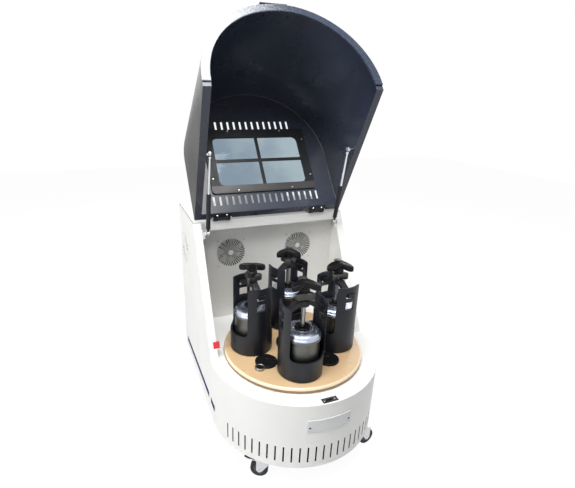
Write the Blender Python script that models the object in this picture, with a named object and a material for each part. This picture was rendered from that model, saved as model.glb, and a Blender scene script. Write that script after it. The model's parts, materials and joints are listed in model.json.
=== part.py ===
# Planetary ball mill: cabinet with a round drum front, hinged hood on gas struts,
# turntable with four clamped grinding jars, belt drive, cooling fans and casters.
# Metres, +Z up, front faces -Y, the floor is z = 0. Sizes are laid out from the turntable's
# axis, and one frame then carries every piece so that the origin is under the middle.

from math import acos, atan2, cos, degrees, hypot, pi, radians, sin, sqrt

import bmesh
import bpy
from mathutils import Matrix, Vector

for old_object in list(bpy.data.objects):
    bpy.data.objects.remove(old_object, do_unlink=True)

# Fits and general values
FIT_GAP = 0.0003
RUN_GAP = 0.0005
OVERRUN = 0.010
SMOOTH_ANGLE = radians(35)
ROUND_STEPS = 16
SMALL_STEPS = 10
SCREW_STEPS = 8

# Cabinet
DRUM_RADIUS = 0.300
DRUM_STEPS = 36
SHEET = 0.0025
DECK_THICKNESS = 0.003
CASTER_HEIGHT = 0.085
SKIRT_HEIGHT = 0.246
BACK_Y = 0.534
CHEEK_FOOT_Y = 0.014
HINGE_Y = 0.243
HINGE_RISE = 0.440
TOWER_TOP_DROP = 0.009
CHEEK_FLANGE = 0.028
DECK_OPENING_RADIUS = 0.230
SLOT_COUNT = 28
SLOT_PITCH = radians(5)
SLOT_WIDTH = 0.005
SLOT_BOTTOM = 0.0225
SLOT_LENGTH = 0.0605
PANEL_Y = 0.295
PANEL_FRONT_DEPTH = 0.005
LIP_BEHIND_HINGE = 0.005
LIP_HEIGHT = 0.035
SIDE_GRILLE_INSET = 0.098
SIDE_GRILLE_RISE = 0.266
SIDE_GRILLE_RADIUS = 0.066
SIDE_GRILLE_HUB = 0.024
SIDE_GRILLE_SLOTS = 24
SIDE_SLOT_WIDTH = 0.006
BASE_THICKNESS = 0.005

DECK_Z = CASTER_HEIGHT + SKIRT_HEIGHT
HINGE_Z = DECK_Z + HINGE_RISE
TOWER_TOP_Z = HINGE_Z - TOWER_TOP_DROP
LIP_Y = HINGE_Y + LIP_BEHIND_HINGE
INNER_HALF = DRUM_RADIUS - SHEET
FITTED_HALF = INNER_HALF - FIT_GAP
BASE_Z = CASTER_HEIGHT
SIDE_GRILLE_Y = BACK_Y - SIDE_GRILLE_INSET

# Front fans
FAN_INSET = 0.156
FAN_RISE = 0.281
GRILLE_RADIUS = 0.0570
GRILLE_HUB = 0.0105
GRILLE_SLOTS = 36
GRILLE_SLOT_OUTER = 0.0056
GRILLE_SLOT_INNER = 0.0011
FAN_SIZE = 0.120
FAN_DEPTH = 0.038
FAN_BORE = 0.0575
FAN_HOLE_PITCH = 0.105
FAN_HUB_RADIUS = 0.022
FAN_HUB_DEPTH = 0.026
FAN_BACK = 0.005
FAN_SPOKE_WIDTH = 0.006
FAN_BLADES = 7
FAN_STEPS = 18
FAN_BLADE_THICKNESS = 0.002
FAN_BLADE_TIP = 0.054
FAN_BLADE_PITCH = radians(35)
FAN_BLADE_CHORD = 0.026
FAN_X = DRUM_RADIUS - FAN_INSET
FAN_Z = DECK_Z + FAN_RISE
FAN_Y = PANEL_Y + SHEET + FIT_GAP

# Screws
SCREW_RADIUS = 0.0035
SCREW_HEAD = 0.0018
SCREW_SINK = 0.0010
SCREW_SHANK = 0.0020

# Label plate, strike, sensor
LABEL_HALF_ANGLE = radians(14.3)
LABEL_RISE = 0.147
LABEL_HEIGHT = 0.044
LABEL_THICKNESS = 0.003
LABEL_SCREW_ANGLE = radians(12.8)
LABEL_SCREW_DROP = 0.004
LABEL_STEPS = 10
STRIKE_INSET = 0.016
STRIKE_Y = STRIKE_INSET - DRUM_RADIUS
STRIKE_LENGTH = 0.052
STRIKE_WIDTH = 0.020
STRIKE_DEPTH = 0.013
STRIKE_SLOT_LENGTH = 0.018
STRIKE_SLOT_WIDTH = 0.008
STRIKE_SLOT_DEPTH = 0.008
STRIKE_PROUD = 0.0002
SENSOR_SIZE = 0.023
SENSOR_INSET = 0.016
SENSOR_OUTER_X = DRUM_RADIUS - SENSOR_INSET
SENSOR_ALONG = 0.050
SENSOR_DEPTH = 0.014
SENSOR_PROUD = 0.0004

# Hood
HOOD_STEP = 0.006
HOOD_RADIUS = DRUM_RADIUS - HOOD_STEP
HOOD_STEPS = 36
HOOD_OPEN_ANGLE = radians(127.7)
HOOD_SEAL_GAP = 0.0006
GASKET_THICKNESS = 0.005
GASKET_WIDTH = 0.026
HOOD_FLANGE = 0.025
HOOD_FLANGE_LEAD = 0.001
HOOD_REAR_FLANGE = 0.024
WINDOW_INSET = 0.116
WINDOW_HALF = HOOD_RADIUS - WINDOW_INSET
WINDOW_NEAR = 0.125
WINDOW_FAR = 0.330
WINDOW_CORNER = 0.020
FRAME_MARGIN_X = 0.034
FRAME_MARGIN_NEAR = 0.030
FRAME_MARGIN_FAR = 0.035
FRAME_THICKNESS = 0.0072
FRAME_CORNER = 0.012
PANE_THICKNESS = 0.004
PANE_LAP = 0.014
CROSS_WIDTH = 0.013
WINDOW_SCREW_INSET_X = 0.068
WINDOW_SCREW_MARGIN_X = 0.023
WINDOW_SCREW_MARGIN_NEAR = 0.021
WINDOW_SCREW_MARGIN_FAR = 0.028
WINDOW_SCREW_SIDE_NEAR = 0.030
WINDOW_SCREW_SIDE_FAR = 0.015
WINDOW_SCREW_X = WINDOW_HALF - WINDOW_SCREW_INSET_X
WINDOW_SCREW_SIDE_X = WINDOW_HALF + WINDOW_SCREW_MARGIN_X
WINDOW_SCREW_NEAR = WINDOW_NEAR - WINDOW_SCREW_MARGIN_NEAR
WINDOW_SCREW_FAR = WINDOW_FAR + WINDOW_SCREW_MARGIN_FAR
WINDOW_SCREW_SIDE = (WINDOW_NEAR + WINDOW_SCREW_SIDE_NEAR, WINDOW_FAR - WINDOW_SCREW_SIDE_FAR)
VENT_WIDTH = 0.008
VENT_MARGIN = 0.003
FAR_VENT_COUNT = 13
FAR_VENT_INSET = 0.142
FAR_VENT_HALF = HOOD_RADIUS - FAR_VENT_INSET
FAR_VENT_START = WINDOW_FAR + FRAME_MARGIN_FAR + VENT_MARGIN
FAR_VENT_LENGTH = 0.037
NEAR_VENT_COUNT = 18
NEAR_VENT_INSET = 0.084
NEAR_VENT_HALF = HOOD_RADIUS - NEAR_VENT_INSET
NEAR_VENT_START = 0.050
NEAR_VENT_LENGTH = 0.036
HANDLE_HALF = 0.042
HANDLE_RISE = 0.041
HANDLE_REACH = 0.036
HANDLE_BAR = 0.006
HANDLE_FOOT = 0.009
HANDLE_FOOT_DEPTH = 0.004

# Hinges
HINGE_INSET = 0.101
HINGE_X = HOOD_RADIUS - HINGE_INSET
HINGE_HALF = 0.032
KNUCKLE_RADIUS = 0.006
KNUCKLE_HALF = 0.014
PIN_RADIUS = 0.0025
LEAF_THICKNESS = 0.0025
LEAF_LENGTH = 0.023
LEAF_START = 0.0068
TOWER_LEAF_LENGTH = 0.030
LEAF_SCREW_X = 0.018
LEAF_SCREW_ALONG = 0.016
TOWER_LEAF_SCREW_INSET = 0.009

# Gas struts
STRUT_INSET = 0.040
STRUT_X = HOOD_RADIUS - STRUT_INSET
STRUT_FOOT_FORWARD = 0.038
STRUT_FOOT_Y = HINGE_Y - STRUT_FOOT_FORWARD
STRUT_FOOT_DROP = 0.039
STRUT_HEAD_FORWARD = 0.1388
STRUT_HEAD_DROP = 0.2235
STRUT_TUBE_RADIUS = 0.008
STRUT_TUBE_END = 0.150
STRUT_TUBE_START = 0.006
STRUT_BORE_RADIUS = 0.0045
STRUT_BORE_START = 0.042
STRUT_ROD_RADIUS = 0.004
STRUT_ROD_INSIDE = 0.020
STRUT_EYE_RADIUS = 0.009
STRUT_EYE_HALF = 0.004
STRUT_PIN_RADIUS = 0.004
EAR_THICKNESS = 0.003
EAR_WIDTH = 0.016
BRACKET_LENGTH = 0.034
STUD_RADIUS = 0.005
STUD_BASE_RADIUS = 0.012
STUD_BASE_DEPTH = 0.004
STUD_HEAD_RADIUS = 0.007
STUD_HEAD_DEPTH = 0.007

# Turntable
DISC_RADIUS = 0.248
DISC_STEPS = 36
DISC_THICKNESS = 0.0190
DISC_RISE = 0.0015
DISC_ROUND = 0.008
HUB_RADIUS = 0.055
HUB_DEPTH = 0.010
SHAFT_RADIUS = 0.020
SHAFT_DEPTH = 0.120
PLANET_ORBIT = 0.149
PLANET_PHASE = radians(-104.5)
COVER_RADIUS = 0.038
COVER_EDGE_MARGIN = 0.098
COVER_ORBIT = DISC_RADIUS - COVER_EDGE_MARGIN
COVER_HEIGHT = 0.007
COVER_EDGE = 0.0025
CAP_RADIUS = 0.058
CAP_HEIGHT = 0.010
PLUG_RADIUS = 0.0165
PLUG_HEIGHT = 0.009
PLUG_EDGE_MARGIN = 0.056
PLUG_ORBIT = DISC_RADIUS - PLUG_EDGE_MARGIN
PLUG_ANGLE = radians(-147.6)
DISC_TOP_Z = DECK_Z + DISC_RISE + DISC_THICKNESS

# Planets, each in its own frame with z = 0 on the turntable
PLANET_FACING = (radians(180), radians(-83), radians(-158), radians(-83))
HOLDER_RADIUS = 0.0745
HOLDER_WALL = 0.006
HOLDER_FLOOR = 0.008
HOLDER_STEPS = 24
CUP_HEIGHT = 0.072
UPRIGHT_TOP = 0.252
UPRIGHT_CUT_HALF = 0.060
UPRIGHT_FILLET = 0.018
NOTCH_HALF = 0.016
UPPER_NOTCH = (0.210, 0.231)
LOWER_NOTCH = (0.171, 0.199)
SPINDLE_RADIUS = 0.012
PULLEY_RADIUS = 0.040
SUN_RADIUS = 0.080
PULLEY_TOP = -0.0305
PULLEY_HEIGHT = 0.030
PULLEY_RIM = 0.004
JAR_RADIUS = 0.059
JAR_WALL = 0.006
JAR_TOP = 0.138
JAR_FLANGE_RADIUS = 0.063
JAR_FLANGE = 0.006
JAR_STEPS = 20
LID_HEIGHT = 0.020
LID_RIM = 0.006
LID_EDGE = 0.007
FOOT_RADIUS = 0.025
FOOT_HEIGHT = 0.008
SCREW_SPINDLE_RADIUS = 0.008
BAR_WIDTH = 0.022
BAR_THICKNESS = 0.014
BAR_HALF_LENGTH = 0.078
BAR_TAB = 0.058
BAR_CROWN = 0.020
BAR_CROWN_RISE = 0.024
BOSS_RADIUS = 0.018
BOSS_LIP = 0.002
NUT_HEIGHT = 0.022
NUT_LOBE = 0.034
NUT_WAIST = 0.017
KNOB_BOTTOM = 0.296
KNOB_RISE = (0.010, 0.005, -0.004, 0)
NUT_RISE = (0.006, 0, 0, 0)
KNOB_TURN = (radians(18), radians(33), radians(-17), radians(-26))
NUT_TURN_STEPS = (0, 1, 3, -1)
KNOB_DROOP = 0.009
KNOB_HEIGHT = 0.020
KNOB_LOBE = 0.051
KNOB_WAIST = 0.018
KNOB_HUB_RADIUS = 0.017
KNOB_NECK = 0.003
KNOB_ROUND = 0.006
KNOB_LOBES = 3
LOBE_STEPS = 18
LOBE_SHARPNESS = 1.9

# Drive
MOTOR_FLANGE_RADIUS = 0.090
MOTOR_FLANGE = 0.008
MOTOR_RADIUS = 0.070
MOTOR_HEAD_RADIUS = 0.085
MOTOR_HEAD = 0.020
MOTOR_TOP_DROP = 0.041
MOTOR_BORE_DEPTH = 0.070
SUN_BORE = 0.0215

# Controls and power
CONSOLE_HALF = 0.140
CONSOLE_FRONT_Y = 0.380
CONSOLE_BACK_Y = 0.515
CONSOLE_FRONT_HEIGHT = 0.014
CONSOLE_BACK_HEIGHT = 0.048
STOP_INSET = 0.035
STOP_X = CONSOLE_HALF - STOP_INSET
STOP_ALONG = 0.105
STOP_RADIUS = 0.018
STOP_HEIGHT = 0.014
STOP_STEM_RADIUS = 0.010
STOP_STEM = 0.008
STOP_TRAVEL = 0.004
INLET_INSET = 0.100
INLET_X = DRUM_RADIUS - INLET_INSET
INLET_RISE = 0.060
INLET_WIDTH = 0.052
INLET_HEIGHT = 0.032
INLET_DEPTH = 0.030
INLET_BEZEL = 0.006
INLET_PROUD = 0.004
INLET_SOCKET_SHARE = 0.62
BACK_VENTS = 8
BACK_VENT_PITCH = 0.020
BACK_VENT_WIDTH = 0.006
BACK_VENT_LENGTH = 0.090
BACK_VENT_RISE = 0.300

# Casters
WHEEL_RADIUS = 0.030
WHEEL_WIDTH = 0.024
WHEEL_ROUND = 0.004
AXLE_RADIUS = 0.004
FORK_PLATE = 0.003
FORK_WIDTH = 0.030
FORK_CROWN_RADIUS = 0.021
FORK_CROWN = 0.008
FORK_TRAIL = 0.024
FORK_BOSS = 0.009
STEM_RADIUS = 0.006
FRONT_CASTER_INSETS = {"left": 0.0314, "right": 0.0207}
FRONT_CASTER_ANGLES = {"left": radians(-129.26), "right": radians(-44.27)}
FRONT_CASTER_HEADINGS = {"left": radians(152), "right": radians(10)}
REAR_CASTER_INSET_X = 0.055
REAR_CASTER_INSET_Y = 0.104
REAR_CASTER_X = DRUM_RADIUS - REAR_CASTER_INSET_X
REAR_CASTER_Y = BACK_Y - REAR_CASTER_INSET_Y
PEDAL_PIVOT = 0.030
PEDAL_RISE = 0.067
PEDAL_REACH = 0.034
PEDAL_TIP = 0.010
PEDAL_WIDTH = 0.026
PEDAL_THICKNESS = 0.003
PEDAL_PIN = 0.003
PEDAL_BARREL = 0.0055

# Looks: colour, roughness, metallic
LOOKS = {
    "white_paint": ((0.86, 0.87, 0.86), 0.35, 0.0),
    "hood_paint": ((0.10, 0.11, 0.14), 0.30, 0.0),
    "black_metal": ((0.03, 0.03, 0.035), 0.45, 0.3),
    "black_plastic": ((0.02, 0.02, 0.02), 0.40, 0.0),
    "tan_coating": ((0.80, 0.62, 0.40), 0.45, 0.0),
    "stainless": ((0.72, 0.73, 0.74), 0.22, 1.0),
    "steel": ((0.60, 0.61, 0.62), 0.30, 1.0),
    "chrome": ((0.80, 0.80, 0.82), 0.10, 1.0),
    "foam": ((0.62, 0.64, 0.68), 0.90, 0.0),
    "pane": ((0.55, 0.63, 0.70), 0.10, 0.0),
    "red": ((0.80, 0.05, 0.05), 0.40, 0.0),
    "rubber": ((0.03, 0.03, 0.03), 0.80, 0.0),
    "cast_grey": ((0.35, 0.37, 0.40), 0.60, 0.4),
}


def material(look):
    """The named finish, made once and shared."""
    found = bpy.data.materials.get(look)
    if found:
        return found
    colour, roughness, metallic = LOOKS[look]
    made = bpy.data.materials.new(look)
    made.use_nodes = True
    shader = made.node_tree.nodes["Principled BSDF"]
    shader.inputs["Base Color"].default_value = (*colour, 1.0)
    shader.inputs["Roughness"].default_value = roughness
    shader.inputs["Metallic"].default_value = metallic
    return made


def empty(name, place, turn=(0, 0, 0), parent=None):
    """A frame that moving pieces hang on, placed on their joint's axis."""
    frame = bpy.data.objects.new(name, None)
    bpy.context.collection.objects.link(frame)
    frame.location = place
    frame.rotation_euler = turn
    frame.parent = parent
    return frame


def make(name, bm, look, parent=None):
    """Turn a bmesh into a named piece with its own finish."""
    bmesh.ops.recalc_face_normals(bm, faces=bm.faces[:])
    mesh = bpy.data.meshes.new(name)
    bm.to_mesh(mesh)
    bm.free()
    mesh.shade_smooth()
    mesh.set_sharp_from_angle(angle=SMOOTH_ANGLE)
    piece = bpy.data.objects.new(name, mesh)
    bpy.context.collection.objects.link(piece)
    piece.parent = parent
    if look:
        mesh.materials.append(material(look))
    return piece


def carve(piece, label, bm, operation="DIFFERENCE"):
    """Cut a shape out of a piece, or join it on, with a live Boolean."""
    tool = make(piece.name + "_" + label, bm, None, piece.parent)
    tool.hide_render = True
    tool.display_type = "WIRE"
    modifier = piece.modifiers.new(label, "BOOLEAN")
    modifier.operation = operation
    modifier.solver = "EXACT"
    modifier.object = tool


def loft(bm, rings, closed=False):
    """Skin a list of rings of points; the ends are capped unless it closes on itself."""
    made = [[bm.verts.new(point) for point in ring] for ring in rings]
    count = len(made[0])
    pairs = list(zip(made, made[1:]))
    if closed:
        pairs.append((made[-1], made[0]))
    for low, high in pairs:
        for i in range(count):
            j = (i + 1) % count
            bm.faces.new((low[i], low[j], high[j], high[i]))
    if not closed:
        bm.faces.new(made[0][::-1])
        bm.faces.new(made[-1])
    return [vert for ring in made for vert in ring]


def prism_z(bm, outline, low, high):
    """Raise an XY outline from one height to another."""
    return loft(bm, [[(x, y, z) for x, y in outline] for z in (low, high)])


def prism_x(bm, outline, low, high):
    """Draw a YZ outline along X."""
    return loft(bm, [[(x, y, z) for y, z in outline] for x in (low, high)])


def prism_y(bm, outline, low, high):
    """Draw an XZ outline along Y."""
    return loft(bm, [[(x, y, z) for x, z in outline] for y in (low, high)])


def rectangle(left, right, low, high):
    return [(left, low), (right, low), (right, high), (left, high)]


def box(bm, x_span, y_span, z_span):
    return prism_z(bm, rectangle(*x_span, *y_span), *z_span)


def arc(centre, radius, start, end, steps):
    """Points on a circle's arc, both ends included."""
    angles = [start + (end - start) * i / steps for i in range(steps + 1)]
    return [(centre[0] + radius * cos(a), centre[1] + radius * sin(a)) for a in angles]


def circle(centre, radius, steps):
    return arc(centre, radius, 0, 2 * pi, steps)[:-1]


def rounded_rectangle(left, right, low, high, corner, steps=3):
    """A rectangle with round corners, anticlockwise."""
    corners = [
        ((right - corner, low + corner), -pi / 2),
        ((right - corner, high - corner), 0),
        ((left + corner, high - corner), pi / 2),
        ((left + corner, low + corner), pi),
    ]
    points = []
    for centre, start in corners:
        points += arc(centre, corner, start, start + pi / 2, steps)
    return points


def lathe(bm, profile, steps, centre=(0, 0)):
    """Turn a profile of (radius, height) about Z; a radius of zero closes an end."""
    angles = [2 * pi * i / steps for i in range(steps)]
    rings = []
    for radius, height in profile:
        if radius == 0:
            rings.append([bm.verts.new((centre[0], centre[1], height))])
        else:
            rings.append([
                bm.verts.new((centre[0] + radius * cos(a), centre[1] + radius * sin(a), height))
                for a in angles
            ])
    pairs = list(zip(rings, rings[1:]))
    if profile[0][0] and profile[-1][0]:
        pairs.append((rings[-1], rings[0]))
    for low, high in pairs:
        for i in range(steps):
            j = (i + 1) % steps
            if len(low) == 1:
                bm.faces.new((low[0], high[j], high[i]))
            elif len(high) == 1:
                bm.faces.new((low[i], low[j], high[0]))
            else:
                bm.faces.new((low[i], low[j], high[j], high[i]))
    return [vert for ring in rings for vert in ring]


def rod(bm, radius, low, high, steps=SMALL_STEPS):
    """A plain round bar along Z."""
    return lathe(bm, [(0, low), (radius, low), (radius, high), (0, high)], steps)


def move(bm, verts, matrix):
    bmesh.ops.transform(bm, matrix=matrix, verts=verts)
    return verts


def aim(place, direction):
    """The matrix that takes +Z at the origin to a direction at a place."""
    turn = Vector((0, 0, 1)).rotation_difference(Vector(direction)).to_matrix().to_4x4()
    return Matrix.Translation(place) @ turn


def drum_outline(radius, back, steps):
    """Half circle at the front, straight sides to the back, anticlockwise."""
    return arc((0, 0), radius, pi, 2 * pi, steps) + [(radius, back), (-radius, back)]


# The slanted plane in which the hood's side flanges meet the cabinet's cheeks.
# It runs from the deck up to the hinge's axis; "lead" is measured towards the front.
SLANT_RUN = HINGE_Y - CHEEK_FOOT_Y
SLANT_LENGTH = hypot(SLANT_RUN, HINGE_RISE)
ALONG = (SLANT_RUN / SLANT_LENGTH, HINGE_RISE / SLANT_LENGTH)
LEAD = (-ALONG[1], ALONG[0])
SLANT_ANGLE = atan2(ALONG[1], ALONG[0])


def slant(along, lead=0.0):
    """(y, z) of a point on the slanted plane, from its foot on the deck."""
    return (
        CHEEK_FOOT_Y + along * ALONG[0] + lead * LEAD[0],
        DECK_Z + along * ALONG[1] + lead * LEAD[1],
    )


def slant_at(height, lead=0.0):
    """(y, z) where the slanted plane, moved forward by lead, passes a height."""
    along = (height - DECK_Z - lead * LEAD[1]) / ALONG[1]
    return slant(along, lead)


def slant_box(bm, x_span, along_span, lead_span):
    """A block lying in the slanted plane."""
    outline = [
        slant(along_span[0], lead_span[0]),
        slant(along_span[1], lead_span[0]),
        slant(along_span[1], lead_span[1]),
        slant(along_span[0], lead_span[1]),
    ]
    return prism_x(bm, outline, *x_span)


def radial_slots(bm, centre, radii, widths, depth_span, count, plane):
    """Wedge-shaped cutters in a ring, run through a sheet."""
    for i in range(count):
        angle = 2 * pi * i / count
        along = (cos(angle), sin(angle))
        across = (-sin(angle), cos(angle))
        outline = []
        for radius, half in ((radii[0], -1), (radii[1], -1), (radii[1], 1), (radii[0], 1)):
            width = widths[0] if radius == radii[0] else widths[1]
            side = half * width / 2
            outline.append((
                centre[0] + radius * along[0] + side * across[0],
                centre[1] + radius * along[1] + side * across[1],
            ))
        plane(bm, outline, *depth_span)


def cabinet_shell():
    """Drum skirt, sides, cheeks and deck in one weldment."""
    bm = bmesh.new()
    prism_z(bm, drum_outline(DRUM_RADIUS, BACK_Y, DRUM_STEPS), CASTER_HEIGHT, TOWER_TOP_Z)
    shell = make("cabinet_shell", bm, "white_paint")
    above = TOWER_TOP_Z + OVERRUN
    behind = BACK_Y + OVERRUN

    bm = bmesh.new()
    front = -DRUM_RADIUS - OVERRUN
    side = DRUM_RADIUS + OVERRUN
    prism_x(bm, [(front, DECK_Z), slant_at(DECK_Z), slant_at(above), (front, above)], -side, side)
    carve(shell, "open_front", bm)

    bm = bmesh.new()
    cavity = drum_outline(INNER_HALF, behind, DRUM_STEPS)
    prism_z(bm, cavity, CASTER_HEIGHT - OVERRUN, DECK_Z - DECK_THICKNESS)
    carve(shell, "lower_cavity", bm)

    bm = bmesh.new()
    panel_back = PANEL_Y + PANEL_FRONT_DEPTH
    box(bm, (-INNER_HALF, INNER_HALF), (panel_back, behind), (DECK_Z - SKIRT_HEIGHT / 4, above))
    carve(shell, "tower_cavity", bm)

    bm = bmesh.new()
    recess = [slant_at(DECK_Z, -SHEET), (panel_back + SHEET, DECK_Z), (panel_back + SHEET, above)]
    prism_x(bm, recess + [slant_at(above, -SHEET)], -INNER_HALF, INNER_HALF)
    carve(shell, "recess", bm)

    bm = bmesh.new()
    mouth_half = DRUM_RADIUS - CHEEK_FLANGE
    mouth = [slant_at(DECK_Z, OVERRUN), slant_at(DECK_Z, -OVERRUN)]
    mouth += [slant_at(above, -OVERRUN), slant_at(above, OVERRUN)]
    prism_x(bm, mouth, -mouth_half, mouth_half)
    carve(shell, "mouth", bm)

    bm = bmesh.new()
    well = circle((0, 0), DECK_OPENING_RADIUS, DRUM_STEPS)
    prism_z(bm, well, DECK_Z - DECK_THICKNESS - OVERRUN, DECK_Z + OVERRUN)
    half_length = STRIKE_LENGTH / 2 + FIT_GAP
    half_width = STRIKE_WIDTH / 2 + FIT_GAP
    box(bm, (-half_length, half_length), (STRIKE_Y - half_width, STRIKE_Y + half_width),
        (DECK_Z - DECK_THICKNESS - OVERRUN, DECK_Z + OVERRUN))
    carve(shell, "deck_openings", bm)

    bm = bmesh.new()
    low = CASTER_HEIGHT + SLOT_BOTTOM
    for i in range(SLOT_COUNT):
        angle = -pi / 2 + (i - (SLOT_COUNT - 1) / 2) * SLOT_PITCH
        verts = box(bm, (DRUM_RADIUS - OVERRUN, DRUM_RADIUS + OVERRUN),
                    (-SLOT_WIDTH / 2, SLOT_WIDTH / 2), (low, low + SLOT_LENGTH))
        move(bm, verts, Matrix.Rotation(angle, 4, "Z"))
    carve(shell, "skirt_slots", bm)

    bm = bmesh.new()
    radial_slots(bm, (SIDE_GRILLE_Y, DECK_Z + SIDE_GRILLE_RISE),
                 (SIDE_GRILLE_HUB, SIDE_GRILLE_RADIUS), (SIDE_SLOT_WIDTH / 2, SIDE_SLOT_WIDTH),
                 (-DRUM_RADIUS - OVERRUN, OVERRUN - INNER_HALF), SIDE_GRILLE_SLOTS, prism_x)
    notch = (-SENSOR_OUTER_X - FIT_GAP, -mouth_half + OVERRUN)
    half = SENSOR_SIZE / 2 + FIT_GAP
    slant_box(bm, notch, (SENSOR_ALONG - half, SENSOR_ALONG + half), (-OVERRUN, OVERRUN))
    carve(shell, "side_grille", bm)
    return shell


def fan_screw_places(side):
    """(x, z) of the four screws round a fan."""
    pitch = FAN_HOLE_PITCH / 2
    return [(side * FAN_X + dx, FAN_Z + dz) for dx in (-pitch, pitch) for dz in (-pitch, pitch)]


def fan_panel():
    """Recessed tower front with a round grille in front of each fan."""
    bm = bmesh.new()
    top = TOWER_TOP_Z - LIP_HEIGHT - FIT_GAP
    box(bm, (-FITTED_HALF, FITTED_HALF), (PANEL_Y, PANEL_Y + SHEET), (DECK_Z + FIT_GAP, top))
    panel = make("fan_panel", bm, "white_paint")
    bm = bmesh.new()
    for side in (-1, 1):
        radial_slots(bm, (side * FAN_X, FAN_Z), (GRILLE_HUB, GRILLE_RADIUS),
                     (GRILLE_SLOT_INNER, GRILLE_SLOT_OUTER),
                     (PANEL_Y - OVERRUN, PANEL_Y + OVERRUN), GRILLE_SLOTS, prism_y)
        for place in fan_screw_places(side):
            hole = circle(place, SCREW_SHANK + FIT_GAP, SCREW_STEPS)
            prism_y(bm, hole, PANEL_Y - OVERRUN, PANEL_Y + OVERRUN)
    carve(panel, "grilles", bm)
    return panel


def tower_cover():
    """Front lip, top and back of the tower, folded from one sheet."""
    lip_low = TOWER_TOP_Z - LIP_HEIGHT
    base_top = BASE_Z + BASE_THICKNESS + FIT_GAP
    outline = [
        (PANEL_Y, lip_low),
        (LIP_Y, lip_low),
        (LIP_Y, TOWER_TOP_Z),
        (BACK_Y, TOWER_TOP_Z),
        (BACK_Y, base_top),
        (BACK_Y - SHEET, base_top),
        (BACK_Y - SHEET, TOWER_TOP_Z - SHEET),
        (LIP_Y + SHEET, TOWER_TOP_Z - SHEET),
        (LIP_Y + SHEET, lip_low + SHEET),
        (PANEL_Y, lip_low + SHEET),
    ]
    bm = bmesh.new()
    prism_x(bm, outline, -FITTED_HALF, FITTED_HALF)
    cover = make("tower_cover", bm, "white_paint")
    bm = bmesh.new()
    through = (BACK_Y - SHEET - OVERRUN, BACK_Y + OVERRUN)
    for i in range(BACK_VENTS):
        x = (i - (BACK_VENTS - 1) / 2) * BACK_VENT_PITCH
        low = DECK_Z + BACK_VENT_RISE
        box(bm, (x - BACK_VENT_WIDTH / 2, x + BACK_VENT_WIDTH / 2), through,
            (low, low + BACK_VENT_LENGTH))
    half_width = INLET_WIDTH / 2 + FIT_GAP
    half_height = INLET_HEIGHT / 2 + FIT_GAP
    inlet_z = BASE_Z + INLET_RISE
    box(bm, (INLET_X - half_width, INLET_X + half_width), through,
        (inlet_z - half_height, inlet_z + half_height))
    carve(cover, "openings", bm)
    return cover


def base_plate():
    """Floor of the cabinet, drilled for the stems of the front casters."""
    bm = bmesh.new()
    back = BACK_Y - FIT_GAP
    prism_z(bm, drum_outline(FITTED_HALF, back, DRUM_STEPS), BASE_Z, BASE_Z + BASE_THICKNESS)
    plate = make("base_plate", bm, "black_metal")
    bm = bmesh.new()
    for x, y in (front_caster_place(name) for name in FRONT_CASTER_INSETS):
        hole = circle((x, y), STEM_RADIUS + 2 * FIT_GAP, SMALL_STEPS)
        prism_z(bm, hole, BASE_Z - OVERRUN, BASE_Z + OVERRUN)
    carve(plate, "stem_holes", bm)
    return plate


def screw_head(bm, place, direction, head=SCREW_HEAD, radius=SCREW_RADIUS):
    """A low pan head whose underside is at a place, facing a direction."""
    edge = head / 3
    profile = [(0, 0), (radius, 0), (radius, head - edge), (radius - edge, head), (0, head)]
    move(bm, lathe(bm, profile, SCREW_STEPS), aim(place, direction))


def label_plate():
    """Bare curved plate on the drum's front."""
    inner = DRUM_RADIUS + FIT_GAP
    outer = inner + LABEL_THICKNESS
    start = -pi / 2 - LABEL_HALF_ANGLE
    end = -pi / 2 + LABEL_HALF_ANGLE
    outline = arc((0, 0), outer, start, end, LABEL_STEPS)
    outline += arc((0, 0), inner, end, start, LABEL_STEPS)
    low = CASTER_HEIGHT + LABEL_RISE
    bm = bmesh.new()
    prism_z(bm, outline, low, low + LABEL_HEIGHT)
    plate = make("label_plate", bm, "white_paint")
    bm = bmesh.new()
    for side in (-1, 1):
        angle = -pi / 2 + side * LABEL_SCREW_ANGLE
        out = (cos(angle), sin(angle), 0)
        radius = outer - SCREW_SINK
        place = (radius * out[0], radius * out[1], low + LABEL_HEIGHT / 2 - LABEL_SCREW_DROP)
        screw_head(bm, place, out, SCREW_HEAD + SCREW_SINK)
    carve(plate, "screws", bm, "UNION")
    return plate


def latch_strike():
    """Lock block let into the deck under the hood's rim."""
    bm = bmesh.new()
    top = DECK_Z + STRIKE_PROUD
    box(bm, (-STRIKE_LENGTH / 2, STRIKE_LENGTH / 2),
        (STRIKE_Y - STRIKE_WIDTH / 2, STRIKE_Y + STRIKE_WIDTH / 2), (top - STRIKE_DEPTH, top))
    strike = make("latch_strike", bm, "black_metal")
    bm = bmesh.new()
    half_length = STRIKE_SLOT_LENGTH / 2
    half_width = STRIKE_SLOT_WIDTH / 2
    box(bm, (-half_length, half_length), (STRIKE_Y - half_width, STRIKE_Y + half_width),
        (top - STRIKE_SLOT_DEPTH, top + OVERRUN))
    carve(strike, "lock_slot", bm)
    return strike


def lid_sensor():
    """Red safety sensor in the left cheek's flange."""
    bm = bmesh.new()
    half = SENSOR_SIZE / 2
    inner = -SENSOR_OUTER_X + SENSOR_SIZE
    slant_box(bm, (-SENSOR_OUTER_X, inner), (SENSOR_ALONG - half, SENSOR_ALONG + half),
              (-SENSOR_DEPTH, SENSOR_PROUD))
    return make("lid_sensor", bm, "red")


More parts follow.
